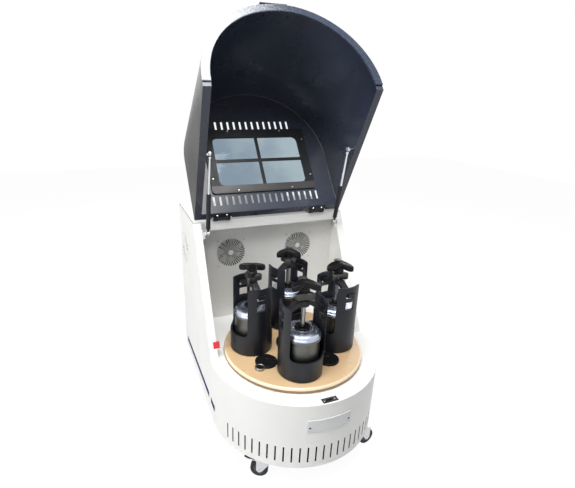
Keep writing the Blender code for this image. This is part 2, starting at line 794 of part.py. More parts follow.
def knuckle(bm, x_span, bore=0.0):
    """A hinge barrel about the hinge's axis; without a bore it is left solid."""
    outer = circle((HINGE_Y, HINGE_Z), KNUCKLE_RADIUS, SMALL_STEPS)
    if not bore:
        return prism_x(bm, outer, *x_span)
    inner = circle((HINGE_Y, HINGE_Z), bore, SMALL_STEPS)
    low, high = x_span
    rings = [[(x, y, z) for y, z in ring] for x, ring in
             ((low, inner), (low, outer), (high, outer), (high, inner))]
    return loft(bm, rings, closed=True)


def tower_hinge_leaf(name, side):
    """Leaf on the tower's top, with the knuckles and pin that carry the hood."""
    centre = side * HINGE_X
    low = TOWER_TOP_Z + FIT_GAP
    high = low + LEAF_THICKNESS
    back = LIP_Y + TOWER_LEAF_LENGTH
    bm = bmesh.new()
    box(bm, (centre - HINGE_HALF, centre + HINGE_HALF), (LIP_Y, back), (low, high))
    leaf = make(name, bm, "black_metal")
    knuckles, webs, pins, heads = [bmesh.new() for _ in range(4)]
    for end in (-1, 1):
        x_span = sorted((centre + end * (KNUCKLE_HALF + RUN_GAP), centre + end * HINGE_HALF))
        knuckle(knuckles, x_span)
        box(webs, x_span, (HINGE_Y, LIP_Y + LEAF_THICKNESS), (low, HINGE_Z))
        place = (centre + end * LEAF_SCREW_X, back - TOWER_LEAF_SCREW_INSET, high - SCREW_SINK)
        screw_head(heads, place, (0, 0, 1), SCREW_HEAD / 2 + SCREW_SINK)
    reach = KNUCKLE_HALF + KNUCKLE_RADIUS
    pin = circle((HINGE_Y, HINGE_Z), PIN_RADIUS, SMALL_STEPS)
    prism_x(pins, pin, centre - reach, centre + reach)
    carve(leaf, "knuckles", knuckles, "UNION")
    carve(leaf, "webs", webs, "UNION")
    carve(leaf, "pin", pins, "UNION")
    carve(leaf, "screws", heads, "UNION")
    return leaf


def strut_frame():
    """Foot, open head and closed head of a strut in the YZ plane."""
    foot = Vector((STRUT_FOOT_Y, HINGE_Z - STRUT_FOOT_DROP))
    closed = Vector((HINGE_Y - STRUT_HEAD_FORWARD, HINGE_Z - STRUT_HEAD_DROP))
    arm = closed - Vector((HINGE_Y, HINGE_Z))
    turn = -HOOD_OPEN_ANGLE
    opened = Vector((HINGE_Y, HINGE_Z)) + Vector((
        arm.x * cos(turn) - arm.y * sin(turn),
        arm.x * sin(turn) + arm.y * cos(turn),
    ))
    return foot, opened, closed


def weld_strut_brackets(shell):
    """Angle brackets behind the cheek flanges, each with the pin for a strut's foot."""
    foot = strut_frame()[0]
    ear_inner = STRUT_X + STRUT_EYE_HALF + STRUT_PIN_RADIUS
    offset = foot - Vector((CHEEK_FOOT_Y, DECK_Z))
    along = offset.x * ALONG[0] + offset.y * ALONG[1]
    lead = offset.x * LEAD[0] + offset.y * LEAD[1]
    half = EAR_WIDTH / 2
    pin = circle(foot, STRUT_PIN_RADIUS, SMALL_STEPS)
    ears, bases, pins = [bmesh.new() for _ in range(3)]
    for side in (-1, 1):
        span = sorted((side * ear_inner, side * (ear_inner + EAR_THICKNESS)))
        slant_box(ears, span, (along - half, along + half),
                  (-SHEET - EAR_THICKNESS / 2, lead + half))
        span = sorted((side * ear_inner, side * (INNER_HALF + SHEET / 2)))
        slant_box(bases, span, (along - BRACKET_LENGTH / 2, along + BRACKET_LENGTH / 2),
                  (-SHEET - EAR_THICKNESS, -SHEET / 2))
        near = STRUT_X - STRUT_EYE_HALF - STRUT_PIN_RADIUS / 2
        far = ear_inner + EAR_THICKNESS / 2
        prism_x(pins, pin, *sorted((side * near, side * far)))
    carve(shell, "bracket_bases", bases, "UNION")
    carve(shell, "bracket_ears", ears, "UNION")
    carve(shell, "bracket_pins", pins, "UNION")


def drive_motor():
    """Upright hollow-shaft gear motor that drives the turntable's stub shaft."""
    low = BASE_Z + BASE_THICKNESS + FIT_GAP
    top = DECK_Z - MOTOR_TOP_DROP
    bore = SHAFT_RADIUS + 2 * FIT_GAP
    profile = [
        (0, low),
        (MOTOR_FLANGE_RADIUS, low),
        (MOTOR_FLANGE_RADIUS, low + MOTOR_FLANGE),
        (MOTOR_RADIUS, low + MOTOR_FLANGE),
        (MOTOR_RADIUS, top - MOTOR_HEAD),
        (MOTOR_HEAD_RADIUS, top - MOTOR_HEAD),
        (MOTOR_HEAD_RADIUS, top),
        (bore, top),
        (bore, top - MOTOR_BORE_DEPTH),
        (0, top - MOTOR_BORE_DEPTH),
    ]
    bm = bmesh.new()
    lathe(bm, profile, ROUND_STEPS)
    return make("drive_motor", bm, "cast_grey")


def sun_pulley():
    """Fixed pulley that the planet belts roll round."""
    low = DECK_Z - MOTOR_TOP_DROP + FIT_GAP
    top = DISC_TOP_Z + PULLEY_TOP
    bm = bmesh.new()
    profile = [(SUN_BORE, low), (SUN_RADIUS, low), (SUN_RADIUS, top), (SUN_BORE, top)]
    lathe(bm, profile, 2 * ROUND_STEPS)
    return make("sun_pulley", bm, "steel")


def fan_frame(name, side):
    """Square frame of one tower fan, its bearing boss and the screws through the panel."""
    half = FAN_SIZE / 2
    bm = bmesh.new()
    box(bm, (side * FAN_X - half, side * FAN_X + half), (FAN_Y, FAN_Y + FAN_DEPTH),
        (FAN_Z - half, FAN_Z + half))
    frame = make(name, bm, "black_plastic")
    bore, boss, screws, heads = [bmesh.new() for _ in range(4)]
    centre = (side * FAN_X, FAN_Z)
    prism_y(bore, circle(centre, FAN_BORE, FAN_STEPS), FAN_Y - OVERRUN,
            FAN_Y + FAN_DEPTH + OVERRUN)
    back = (FAN_Y + FAN_DEPTH - FAN_BACK, FAN_Y + FAN_DEPTH)
    prism_y(boss, circle(centre, FAN_HUB_RADIUS, FAN_STEPS), *back)
    for x, z in fan_screw_places(side):
        prism_y(screws, circle((x, z), SCREW_SHANK, SCREW_STEPS),
                PANEL_Y - FIT_GAP - SCREW_SINK, FAN_Y + SCREW_SINK)
        screw_head(heads, (x, PANEL_Y - FIT_GAP, z), (0, -1, 0))
    carve(frame, "bore", bore)
    carve(frame, "boss", boss, "UNION")
    for angle in (pi / 4, -pi / 4):
        bm = bmesh.new()
        verts = box(bm, (-FAN_BORE - FAN_BACK, FAN_BORE + FAN_BACK),
                    (back[0] + FAN_BACK / 4, back[1] - FAN_BACK / 4),
                    (-FAN_SPOKE_WIDTH / 2, FAN_SPOKE_WIDTH / 2))
        turn = Matrix.Rotation(angle, 4, "Y")
        move(bm, verts, Matrix.Translation((side * FAN_X, 0, FAN_Z)) @ turn)
        carve(frame, "spoke", bm, "UNION")
    carve(frame, "screws", screws, "UNION")
    carve(frame, "heads", heads, "UNION")
    return frame


def fan_rotor(name, side):
    """Hub and blades of one fan, turning about Y."""
    front = FAN_BACK / 2
    axis = empty(name + "_axis", (side * FAN_X, FAN_Y, FAN_Z))
    back = FAN_DEPTH - FAN_BACK - RUN_GAP
    bm = bmesh.new()
    hub = circle((0, 0), FAN_HUB_RADIUS, FAN_STEPS)
    prism_y(bm, hub, back - FAN_HUB_DEPTH, back)
    rotor = make(name, bm, "black_plastic", axis)
    bm = bmesh.new()
    middle = (front + back) / 2
    for i in range(FAN_BLADES):
        root = FAN_HUB_RADIUS - FAN_BLADE_THICKNESS
        verts = box(bm, (root, FAN_BLADE_TIP), (-FAN_BLADE_CHORD / 2, FAN_BLADE_CHORD / 2),
                    (-FAN_BLADE_THICKNESS / 2, FAN_BLADE_THICKNESS / 2))
        tilt = Matrix.Rotation(FAN_BLADE_PITCH, 4, "X")
        spin = Matrix.Rotation(2 * pi * i / FAN_BLADES, 4, "Y")
        move(bm, verts, spin @ Matrix.Translation((0, middle, 0)) @ tilt)
    carve(rotor, "blades", bm, "UNION")
    return rotor


def power_inlet():
    """Inlet for the mains lead, low on the back."""
    bm = bmesh.new()
    z = BASE_Z + INLET_RISE
    half = (INLET_WIDTH / 2, INLET_HEIGHT / 2)
    inner = BACK_Y - INLET_DEPTH
    box(bm, (INLET_X - half[0], INLET_X + half[0]), (inner, BACK_Y + INLET_PROUD),
        (z - half[1], z + half[1]))
    inlet = make("power_inlet", bm, "black_plastic")
    bm = bmesh.new()
    bezel = [side + INLET_BEZEL for side in half]
    box(bm, (INLET_X - bezel[0], INLET_X + bezel[0]),
        (BACK_Y + FIT_GAP, BACK_Y + INLET_PROUD - FIT_GAP), (z - bezel[1], z + bezel[1]))
    carve(inlet, "bezel", bm, "UNION")
    bm = bmesh.new()
    socket = [side * INLET_SOCKET_SHARE for side in half]
    box(bm, (INLET_X - socket[0], INLET_X + socket[0]),
        (BACK_Y - INLET_DEPTH / 2, BACK_Y + OVERRUN), (z - socket[1], z + socket[1]))
    carve(inlet, "socket", bm)
    return inlet


def control_panel():
    """Sloped console on the tower's top, behind the hood."""
    low = TOWER_TOP_Z + FIT_GAP
    outline = [
        (CONSOLE_FRONT_Y, low),
        (CONSOLE_BACK_Y, low),
        (CONSOLE_BACK_Y, low + CONSOLE_BACK_HEIGHT),
        (CONSOLE_FRONT_Y, low + CONSOLE_FRONT_HEIGHT),
    ]
    bm = bmesh.new()
    prism_x(bm, outline, -CONSOLE_HALF, CONSOLE_HALF)
    console = make("control_panel", bm, "white_paint")
    place, normal = stop_seat()
    bm = bmesh.new()
    verts = rod(bm, STOP_STEM_RADIUS + FIT_GAP, -STOP_STEM - STOP_TRAVEL, OVERRUN, ROUND_STEPS)
    move(bm, verts, aim(place, normal))
    carve(console, "stop_hole", bm)
    return console


def stop_seat():
    """Where the stop button meets the console, and the console's outward normal."""
    run = CONSOLE_BACK_Y - CONSOLE_FRONT_Y
    rise = CONSOLE_BACK_HEIGHT - CONSOLE_FRONT_HEIGHT
    length = hypot(run, rise)
    y = CONSOLE_FRONT_Y + STOP_ALONG * run / length
    z = TOWER_TOP_Z + FIT_GAP + CONSOLE_FRONT_HEIGHT + STOP_ALONG * rise / length
    return Vector((STOP_X, y, z)), Vector((0, -rise / length, run / length))


def stop_button():
    """Mushroom stop button that is pushed into the console."""
    place, normal = stop_seat()
    frame = empty("stop_button_axis", place, aim((0, 0, 0), normal).to_euler())
    head_low = STOP_TRAVEL + RUN_GAP
    head_top = head_low + STOP_HEIGHT
    profile = [
        (0, RUN_GAP - STOP_STEM),
        (STOP_STEM_RADIUS, RUN_GAP - STOP_STEM),
        (STOP_STEM_RADIUS, head_low),
        (STOP_RADIUS, head_low),
        (STOP_RADIUS, head_top - STOP_HEIGHT / 3),
        (STOP_STEM_RADIUS, head_top),
        (0, head_top),
    ]
    bm = bmesh.new()
    lathe(bm, profile, ROUND_STEPS)
    return make("stop_button", bm, "red", frame)


def hood_pivot():
    """The hinge's axis, with the hood swung open as it stands."""
    return empty("hood_axis", (0, HINGE_Y, HINGE_Z), (-HOOD_OPEN_ANGLE, 0, 0))


def on_hood(bm):
    """Take a shape drawn with the hood shut into the hood's own frame."""
    bmesh.ops.translate(bm, vec=(0, -HINGE_Y, -HINGE_Z), verts=bm.verts[:])
    return bm


HOOD_RIM_Z = DECK_Z + HOOD_SEAL_GAP + GASKET_THICKNESS + FIT_GAP
HOOD_PLATE_Z = HINGE_Z - SHEET


def hood_shell(pivot):
    """Domed guard of one sheet, with its window, vents and inward flanges."""
    behind = HINGE_Y + OVERRUN
    below = HOOD_RIM_Z - OVERRUN
    above = HINGE_Z + OVERRUN
    bm = bmesh.new()
    prism_z(bm, drum_outline(HOOD_RADIUS, behind, HOOD_STEPS), HOOD_RIM_Z, HINGE_Z)
    shell = make("hood_shell", on_hood(bm), "hood_paint", pivot)

    bm = bmesh.new()
    side = HOOD_RADIUS + OVERRUN
    cut = [slant_at(below, HOOD_FLANGE_LEAD), (behind + OVERRUN, below), (behind + OVERRUN, above)]
    prism_x(bm, cut + [slant_at(above, HOOD_FLANGE_LEAD)], -side, side)
    carve(shell, "slant", on_hood(bm))

    bm = bmesh.new()
    inner = HOOD_RADIUS - SHEET
    prism_z(bm, drum_outline(inner, behind + OVERRUN, HOOD_STEPS), HOOD_RIM_Z + SHEET, HOOD_PLATE_Z)
    hollow = make("hood_hollow", on_hood(bm), None, pivot)
    hollow.hide_render = True
    hollow.display_type = "WIRE"
    bm = bmesh.new()
    lead = HOOD_FLANGE_LEAD + SHEET
    cut = [slant_at(below, lead), (behind + 2 * OVERRUN, below), (behind + 2 * OVERRUN, above)]
    prism_x(bm, cut + [slant_at(above, lead)], -side, side)
    carve(hollow, "slant", on_hood(bm))
    modifier = shell.modifiers.new("hollow", "BOOLEAN")
    modifier.solver = "EXACT"
    modifier.object = hollow

    bm = bmesh.new()
    mouth_radius = HOOD_RADIUS - GASKET_WIDTH
    prism_z(bm, drum_outline(mouth_radius, slant_at(HOOD_RIM_Z)[0] + OVERRUN, HOOD_STEPS),
            below, HOOD_RIM_Z + SHEET + SHEET / 2)
    carve(shell, "rim_mouth", on_hood(bm))

    bm = bmesh.new()
    mouth_half = HOOD_RADIUS - HOOD_FLANGE
    mouth_top = SLANT_LENGTH - HOOD_REAR_FLANGE
    mouth = [slant_at(below, -OVERRUN), slant(mouth_top, -OVERRUN)]
    mouth += [slant(mouth_top, OVERRUN), slant_at(below, OVERRUN)]
    prism_x(bm, mouth, -mouth_half, mouth_half)
    carve(shell, "slant_mouth", on_hood(bm))

    bm = bmesh.new()
    top_span = (HOOD_PLATE_Z - OVERRUN / 2, above)
    window = rounded_rectangle(-WINDOW_HALF, WINDOW_HALF, HINGE_Y - WINDOW_FAR,
                               HINGE_Y - WINDOW_NEAR, WINDOW_CORNER)
    prism_z(bm, window, *top_span)
    rows = (
        (FAR_VENT_COUNT, FAR_VENT_HALF, FAR_VENT_START, FAR_VENT_LENGTH),
        (NEAR_VENT_COUNT, NEAR_VENT_HALF, NEAR_VENT_START, NEAR_VENT_LENGTH),
    )
    for count, half, start, length in rows:
        for i in range(count):
            x = -half + 2 * half * i / (count - 1)
            box(bm, (x - VENT_WIDTH / 2, x + VENT_WIDTH / 2),
                (HINGE_Y - start - length, HINGE_Y - start), top_span)
    carve(shell, "window_and_vents", on_hood(bm))

    bm = bmesh.new()
    for side in (-1, 1):
        relief = circle((HINGE_Y, HINGE_Z), LEAF_START, SMALL_STEPS)
        reach = HINGE_HALF + KNUCKLE_RADIUS
        prism_x(bm, relief, side * HINGE_X - reach, side * HINGE_X + reach)
        place, out = handle_screw(side)
        verts = rod(bm, SCREW_SHANK + FIT_GAP, -OVERRUN, OVERRUN, SCREW_STEPS)
        move(bm, verts, aim(place, out))
    carve(shell, "reliefs", on_hood(bm))
    bm = bmesh.new()
    head_y, head_z = slant(SLANT_LENGTH - LEAF_SCREW_ALONG, HOOD_FLANGE_LEAD + SHEET - SCREW_SINK)
    for side in (-1, 1):
        for end in (-1, 1):
            screw_head(bm, (side * HINGE_X + end * LEAF_SCREW_X, head_y, head_z),
                       (0, LEAD[0], LEAD[1]), SCREW_HEAD + SCREW_SINK)
    carve(shell, "hinge_screws", on_hood(bm), "UNION")
    weld_strut_studs(shell)
    return shell


def hood_gasket(pivot):
    """Foam strip under the hood's round rim."""
    low = DECK_Z + HOOD_SEAL_GAP
    inner = HOOD_RADIUS - GASKET_WIDTH
    outline = arc((0, 0), HOOD_RADIUS, pi, 2 * pi, HOOD_STEPS)
    outline += arc((0, 0), inner, 2 * pi, pi, HOOD_STEPS)
    bm = bmesh.new()
    prism_z(bm, outline, low, low + GASKET_THICKNESS)
    return make("hood_gasket", on_hood(bm), "foam", pivot)


def window_frame(pivot):
    """Frame with a cross, screwed inside the hood round the window."""
    top = HOOD_PLATE_Z - FIT_GAP
    low = top - FRAME_THICKNESS
    near = HINGE_Y - WINDOW_NEAR
    far = HINGE_Y - WINDOW_FAR
    half = WINDOW_HALF + FRAME_MARGIN_X
    bm = bmesh.new()
    outer = rounded_rectangle(-half, half, far - FRAME_MARGIN_FAR, near + FRAME_MARGIN_NEAR,
                              FRAME_CORNER)
    prism_z(bm, outer, low, top)
    frame = make("window_frame", on_hood(bm), "black_metal", pivot)
    bm = bmesh.new()
    lap = PANE_LAP + FIT_GAP
    box(bm, (-WINDOW_HALF - lap, WINDOW_HALF + lap), (far - lap, near + lap),
        (top - PANE_THICKNESS - FIT_GAP, top + OVERRUN))
    carve(frame, "pane_seat", on_hood(bm))
    bm = bmesh.new()
    middle = (near + far) / 2
    bar = CROSS_WIDTH / 2
    for x_span in ((-WINDOW_HALF, -bar), (bar, WINDOW_HALF)):
        for y_span in ((far, middle - bar), (middle + bar, near)):
            light = window_light(x_span, y_span)
            prism_z(bm, light, low - OVERRUN, top + OVERRUN / 2)
    carve(frame, "lights", on_hood(bm))
    bm = bmesh.new()
    for side in (-1, 1):
        places = [(WINDOW_SCREW_X, WINDOW_SCREW_NEAR), (WINDOW_SCREW_X, WINDOW_SCREW_FAR)]
        places += [(WINDOW_SCREW_SIDE_X, forward) for forward in WINDOW_SCREW_SIDE]
        for x, forward in places:
            place = (side * x, HINGE_Y - forward, low + SCREW_SINK)
            screw_head(bm, place, (0, 0, -1), SCREW_HEAD + SCREW_SINK)
    carve(frame, "screws", on_hood(bm), "UNION")
    return frame


def window_light(x_span, y_span):
    """One of the four openings, round only at the window's own corner."""
    outer_x = x_span[0] if x_span[0] + x_span[1] < 0 else x_span[1]
    near = HINGE_Y - WINDOW_NEAR
    outer_y = near if y_span[1] == near else y_span[0]
    points = []
    for corner in ((x_span[1], y_span[0]), (x_span[1], y_span[1]),
                   (x_span[0], y_span[1]), (x_span[0], y_span[0])):
        if corner != (outer_x, outer_y):
            points.append(corner)
            continue
        side_x = 1 if outer_x > 0 else -1
        side_y = 1 if outer_y == near else -1
        centre = (outer_x - side_x * WINDOW_CORNER, outer_y - side_y * WINDOW_CORNER)
        start = {(1, -1): -pi / 2, (1, 1): 0, (-1, 1): pi / 2, (-1, -1): pi}[(side_x, side_y)]
        points += arc(centre, WINDOW_CORNER, start, start + pi / 2, 3)
    return points


def window_pane(pivot):
    """Clear sheet held between the frame and the hood."""
    top = HOOD_PLATE_Z - 2 * FIT_GAP
    bm = bmesh.new()
    box(bm, (-WINDOW_HALF - PANE_LAP, WINDOW_HALF + PANE_LAP),
        (HINGE_Y - WINDOW_FAR - PANE_LAP, HINGE_Y - WINDOW_NEAR + PANE_LAP),
        (top - PANE_THICKNESS + FIT_GAP, top))
    return make("window_pane", on_hood(bm), "pane", pivot)


def hood_hinge_leaf(name, pivot, side):
    """Leaf under the hood's rear flange, with the bored middle knuckle."""
    bore = PIN_RADIUS + FIT_GAP
    centre = side * HINGE_X
    bm = bmesh.new()
    knuckle(bm, (centre - KNUCKLE_HALF, centre + KNUCKLE_HALF), bore)
    leaf = make(name, on_hood(bm), "black_metal", pivot)
    lead = (HOOD_FLANGE_LEAD - FIT_GAP - LEAF_THICKNESS, HOOD_FLANGE_LEAD - FIT_GAP)
    bm = bmesh.new()
    slant_box(bm, (centre - KNUCKLE_HALF, centre + KNUCKLE_HALF),
              (SLANT_LENGTH - LEAF_LENGTH, SLANT_LENGTH - bore - RUN_GAP), lead)
    carve(leaf, "web", on_hood(bm), "UNION")
    bm = bmesh.new()
    inset = LEAF_THICKNESS / 4
    slant_box(bm, (centre - HINGE_HALF, centre + HINGE_HALF),
              (SLANT_LENGTH - LEAF_LENGTH + inset, SLANT_LENGTH - LEAF_START - RUN_GAP), lead)
    carve(leaf, "plate", on_hood(bm), "UNION")
    return leaf


def handle_screw(side):
    """Where a handle screw passes the hood's outer face, and its outward direction."""
    x = side * HANDLE_HALF
    y = -sqrt(HOOD_RADIUS ** 2 - x * x)
    return (x, y, DECK_Z + HANDLE_RISE), (x / HOOD_RADIUS, y / HOOD_RADIUS, 0)


def hood_handle(pivot):
    """Bow handle on the outside of the hood's front."""
    z = DECK_Z + HANDLE_RISE
    foot_y = -sqrt(HOOD_RADIUS ** 2 - (HANDLE_HALF - HANDLE_FOOT) ** 2) - FIT_GAP
    grip_y = foot_y - HANDLE_REACH
    bm = bmesh.new()
    box(bm, (-HANDLE_HALF - HANDLE_BAR, HANDLE_HALF + HANDLE_BAR),
        (grip_y - HANDLE_BAR, grip_y + HANDLE_BAR), (z - HANDLE_BAR, z + HANDLE_BAR))
    handle = make("hood_handle", on_hood(bm), "black_plastic", pivot)
    for side in (-1, 1):
        x = side * HANDLE_HALF
        bm = bmesh.new()
        verts = lathe(bm, [(0, 0), (HANDLE_FOOT, 0), (HANDLE_FOOT, HANDLE_FOOT_DEPTH),
                           (HANDLE_BAR - FIT_GAP, HANDLE_FOOT_DEPTH),
                           (HANDLE_BAR - FIT_GAP, HANDLE_REACH), (0, HANDLE_REACH)], SMALL_STEPS)
        move(bm, verts, aim((x, foot_y, z), (0, -1, 0)))
        carve(handle, "leg", on_hood(bm), "UNION")
    outer = HOOD_RADIUS + HANDLE_FOOT_DEPTH
    inner = HOOD_RADIUS - SHEET - 2 * FIT_GAP
    grip = outer - inner
    edge = SCREW_HEAD / 3
    profile = [
        (0, 0),
        (SCREW_SHANK, 0),
        (SCREW_SHANK, grip),
        (SCREW_RADIUS, grip),
        (SCREW_RADIUS, grip + SCREW_HEAD - edge),
        (SCREW_RADIUS - edge, grip + SCREW_HEAD),
        (0, grip + SCREW_HEAD),
    ]
    bm = bmesh.new()
    for side in (-1, 1):
        place, out = handle_screw(side)
        start = (outer * out[0], outer * out[1], place[2])
        move(bm, lathe(bm, profile, SCREW_STEPS), aim(start, (-out[0], -out[1], 0)))
    carve(handle, "screws", on_hood(bm), "UNION")
    return handle


def weld_strut_studs(shell):
    """Turned studs on the hood's side walls that meet the rods' ends face to face."""
    closed = strut_frame()[2]
    wall = HOOD_RADIUS - SHEET / 2
    reach = wall - (STRUT_X + STRUT_EYE_HALF + RUN_GAP)
    profile = [
        (0, 0),
        (STUD_BASE_RADIUS, 0),
        (STUD_BASE_RADIUS, STUD_BASE_DEPTH),
        (STUD_RADIUS, STUD_BASE_DEPTH),
        (STUD_RADIUS, reach - STUD_HEAD_DEPTH),
        (STUD_HEAD_RADIUS, reach - STUD_HEAD_DEPTH / 2),
        (STUD_HEAD_RADIUS, reach),
        (0, reach),
    ]
    bm = bmesh.new()
    for side in (-1, 1):
        verts = lathe(bm, profile, SMALL_STEPS)
        move(bm, verts, aim((side * wall, closed.x, closed.y), (-side, 0, 0)))
    carve(shell, "strut_studs", on_hood(bm), "UNION")


def gas_strut(name, side):
    """Cylinder that swings on its bracket, and the rod that slides in it."""
    foot, opened, closed = strut_frame()
    line = opened - foot
    length = line.length
    lean = atan2(-line.x, line.y)
    swing = empty("strut_axis_" + name, (side * STRUT_X, foot.x, foot.y), (lean, 0, 0))
    eye = [(STRUT_PIN_RADIUS + FIT_GAP, -STRUT_EYE_HALF), (STRUT_EYE_RADIUS, -STRUT_EYE_HALF),
           (STRUT_EYE_RADIUS, STRUT_EYE_HALF), (STRUT_PIN_RADIUS + FIT_GAP, STRUT_EYE_HALF)]
    turn = Matrix.Rotation(pi / 2, 4, "Y")

    bm = bmesh.new()
    profile = [
        (0, STRUT_TUBE_START),
        (STRUT_EYE_HALF - FIT_GAP, STRUT_TUBE_START),
        (STRUT_EYE_HALF - FIT_GAP, STRUT_EYE_RADIUS + STRUT_EYE_HALF),
        (STRUT_TUBE_RADIUS, STRUT_EYE_RADIUS + STRUT_TUBE_RADIUS),
        (STRUT_TUBE_RADIUS, STRUT_TUBE_END),
        (STRUT_BORE_RADIUS, STRUT_TUBE_END),
        (STRUT_BORE_RADIUS, STRUT_BORE_START),
        (0, STRUT_BORE_START),
    ]
    lathe(bm, profile, SMALL_STEPS)
    cylinder = make("strut_cylinder_" + name, bm, "black_metal", swing)
    bm = bmesh.new()
    move(bm, lathe(bm, eye, SMALL_STEPS), turn)
    carve(cylinder, "eye", bm, "UNION")

    bm = bmesh.new()
    start = STRUT_TUBE_END - STRUT_ROD_INSIDE
    lathe(bm, [(0, start), (STRUT_ROD_RADIUS, start), (STRUT_ROD_RADIUS, length - STRUT_EYE_HALF),
               (0, length - STRUT_EYE_HALF)], SMALL_STEPS)
    piston_rod = make("strut_rod_" + name, bm, "chrome", swing)
    bm = bmesh.new()
    verts = lathe(bm, [(0, -STRUT_EYE_HALF), (STRUT_EYE_RADIUS, -STRUT_EYE_HALF),
                       (STRUT_EYE_RADIUS, STRUT_EYE_HALF), (0, STRUT_EYE_HALF)], SMALL_STEPS)
    move(bm, verts, Matrix.Translation((0, 0, length)) @ turn)
    carve(piston_rod, "end", bm, "UNION")

    fold = closed - foot
    swept = acos(max(-1.0, min(1.0, line.normalized().dot(fold.normalized()))))
    print("strut", name, "open", round(length, 5), "shut", round(fold.length, 5),
          "swing", round(degrees(swept), 3))


def planet_place(index):
    angle = PLANET_PHASE + index * pi / 2
    return PLANET_ORBIT * cos(angle), PLANET_ORBIT * sin(angle)


def turntable():
    """Disc with its hub and stub shaft, bored for the four spindles."""
    frame = empty("turntable_axis", (0, 0, DISC_TOP_Z))
    rim = arc((DISC_RADIUS - DISC_ROUND, -DISC_ROUND), DISC_ROUND, pi / 2, 0, 3)
    low_round = DISC_ROUND / 2
    under = arc((DISC_RADIUS - low_round, low_round - DISC_THICKNESS), low_round, 0, -pi / 2, 2)
    hub_low = -DISC_THICKNESS - HUB_DEPTH
    profile = [(0, 0)] + rim + under + [
        (HUB_RADIUS, -DISC_THICKNESS),
        (HUB_RADIUS, hub_low),
        (SHAFT_RADIUS, hub_low),
        (SHAFT_RADIUS, -SHAFT_DEPTH),
        (0, -SHAFT_DEPTH),
    ]
    bm = bmesh.new()
    lathe(bm, profile, DISC_STEPS)
    disc = make("turntable_disc", bm, "tan_coating", frame)
    bm = bmesh.new()
    for i in range(4):
        hole = circle(planet_place(i), SPINDLE_RADIUS + 2 * FIT_GAP, ROUND_STEPS)
        prism_z(bm, hole, -DISC_THICKNESS - OVERRUN, OVERRUN)
    carve(disc, "spindle_bores", bm)

    places = [(COVER_ORBIT, PLANET_PHASE + pi / 4 + i * pi / 2, COVER_RADIUS, COVER_HEIGHT)
              for i in range(4)]
    plug = [(PLUG_ORBIT, PLUG_ANGLE, PLUG_RADIUS, PLUG_HEIGHT)]
    for label, group in (("covers", places), ("plug", plug)):
        bm = bmesh.new()
        for orbit, angle, radius, height in group:
            lathe(bm, cover_profile(radius, -DISC_ROUND, height), ROUND_STEPS,
                  (orbit * cos(angle), orbit * sin(angle)))
        carve(disc, label, bm, "UNION")
    bm = bmesh.new()
    lathe(bm, cover_profile(CAP_RADIUS, FIT_GAP, CAP_HEIGHT), ROUND_STEPS)
    make("hub_cap", bm, "black_plastic", frame)
    return frame


def cover_profile(radius, low, high):
    """A low round cover with a chamfered edge."""
    return [(0, low), (radius, low), (radius, high - COVER_EDGE),
            (radius - COVER_EDGE, high), (0, high)]


def jar_holder(number, frame):
    """Cup with two notched uprights, on its spindle and pulley."""
    inner = HOLDER_RADIUS - HOLDER_WALL
    pulley_low = PULLEY_TOP - PULLEY_HEIGHT
    groove = PULLEY_RADIUS
    profile = [
        (0, HOLDER_FLOOR),
        (inner, HOLDER_FLOOR),
        (inner, UPRIGHT_TOP),
        (HOLDER_RADIUS, UPRIGHT_TOP),
        (HOLDER_RADIUS, FIT_GAP),
        (SPINDLE_RADIUS, FIT_GAP),
        (SPINDLE_RADIUS, PULLEY_TOP),
        (groove, PULLEY_TOP),
        (groove, pulley_low),
        (0, pulley_low),
    ]
    bm = bmesh.new()
    lathe(bm, profile, HOLDER_STEPS)
    holder = make("jar_holder_" + number, bm, "black_metal", frame)
    bm = bmesh.new()
    half = UPRIGHT_CUT_HALF
    top = UPRIGHT_TOP + OVERRUN
    outline = [(half, top), (-half, top)]
    outline += arc((-half + UPRIGHT_FILLET, CUP_HEIGHT + UPRIGHT_FILLET), UPRIGHT_FILLET,
                   pi, 3 * pi / 2, 4)
    outline += arc((half - UPRIGHT_FILLET, CUP_HEIGHT + UPRIGHT_FILLET), UPRIGHT_FILLET,
                   3 * pi / 2, 2 * pi, 4)
    reach = HOLDER_RADIUS + OVERRUN
    prism_y(bm, outline, -reach, reach)
    carve(holder, "sides", bm)
    bm = bmesh.new()
    for notch in (UPPER_NOTCH, LOWER_NOTCH):
        box(bm, (-reach, reach), (-NOTCH_HALF, NOTCH_HALF), notch)
    carve(holder, "notches", bm)


def grinding_jar(number, frame):
    """Thick-walled stainless pot with a bright flange."""
    low = HOLDER_FLOOR + FIT_GAP
    inner = JAR_RADIUS - JAR_WALL
    edge = JAR_WALL / 3
    profile = [
        (0, low),
        (JAR_RADIUS - edge, low),
        (JAR_RADIUS, low + edge),
        (JAR_RADIUS, JAR_TOP - JAR_FLANGE),
        (JAR_FLANGE_RADIUS, JAR_TOP - JAR_FLANGE),
        (JAR_FLANGE_RADIUS, JAR_TOP),
        (inner, JAR_TOP),
        (inner, low + 2 * JAR_WALL),
        (inner - JAR_WALL, low + JAR_WALL),
        (0, low + JAR_WALL),
    ]
    bm = bmesh.new()
    lathe(bm, profile, JAR_STEPS)
    make("grinding_jar_" + number, bm, "stainless", frame)


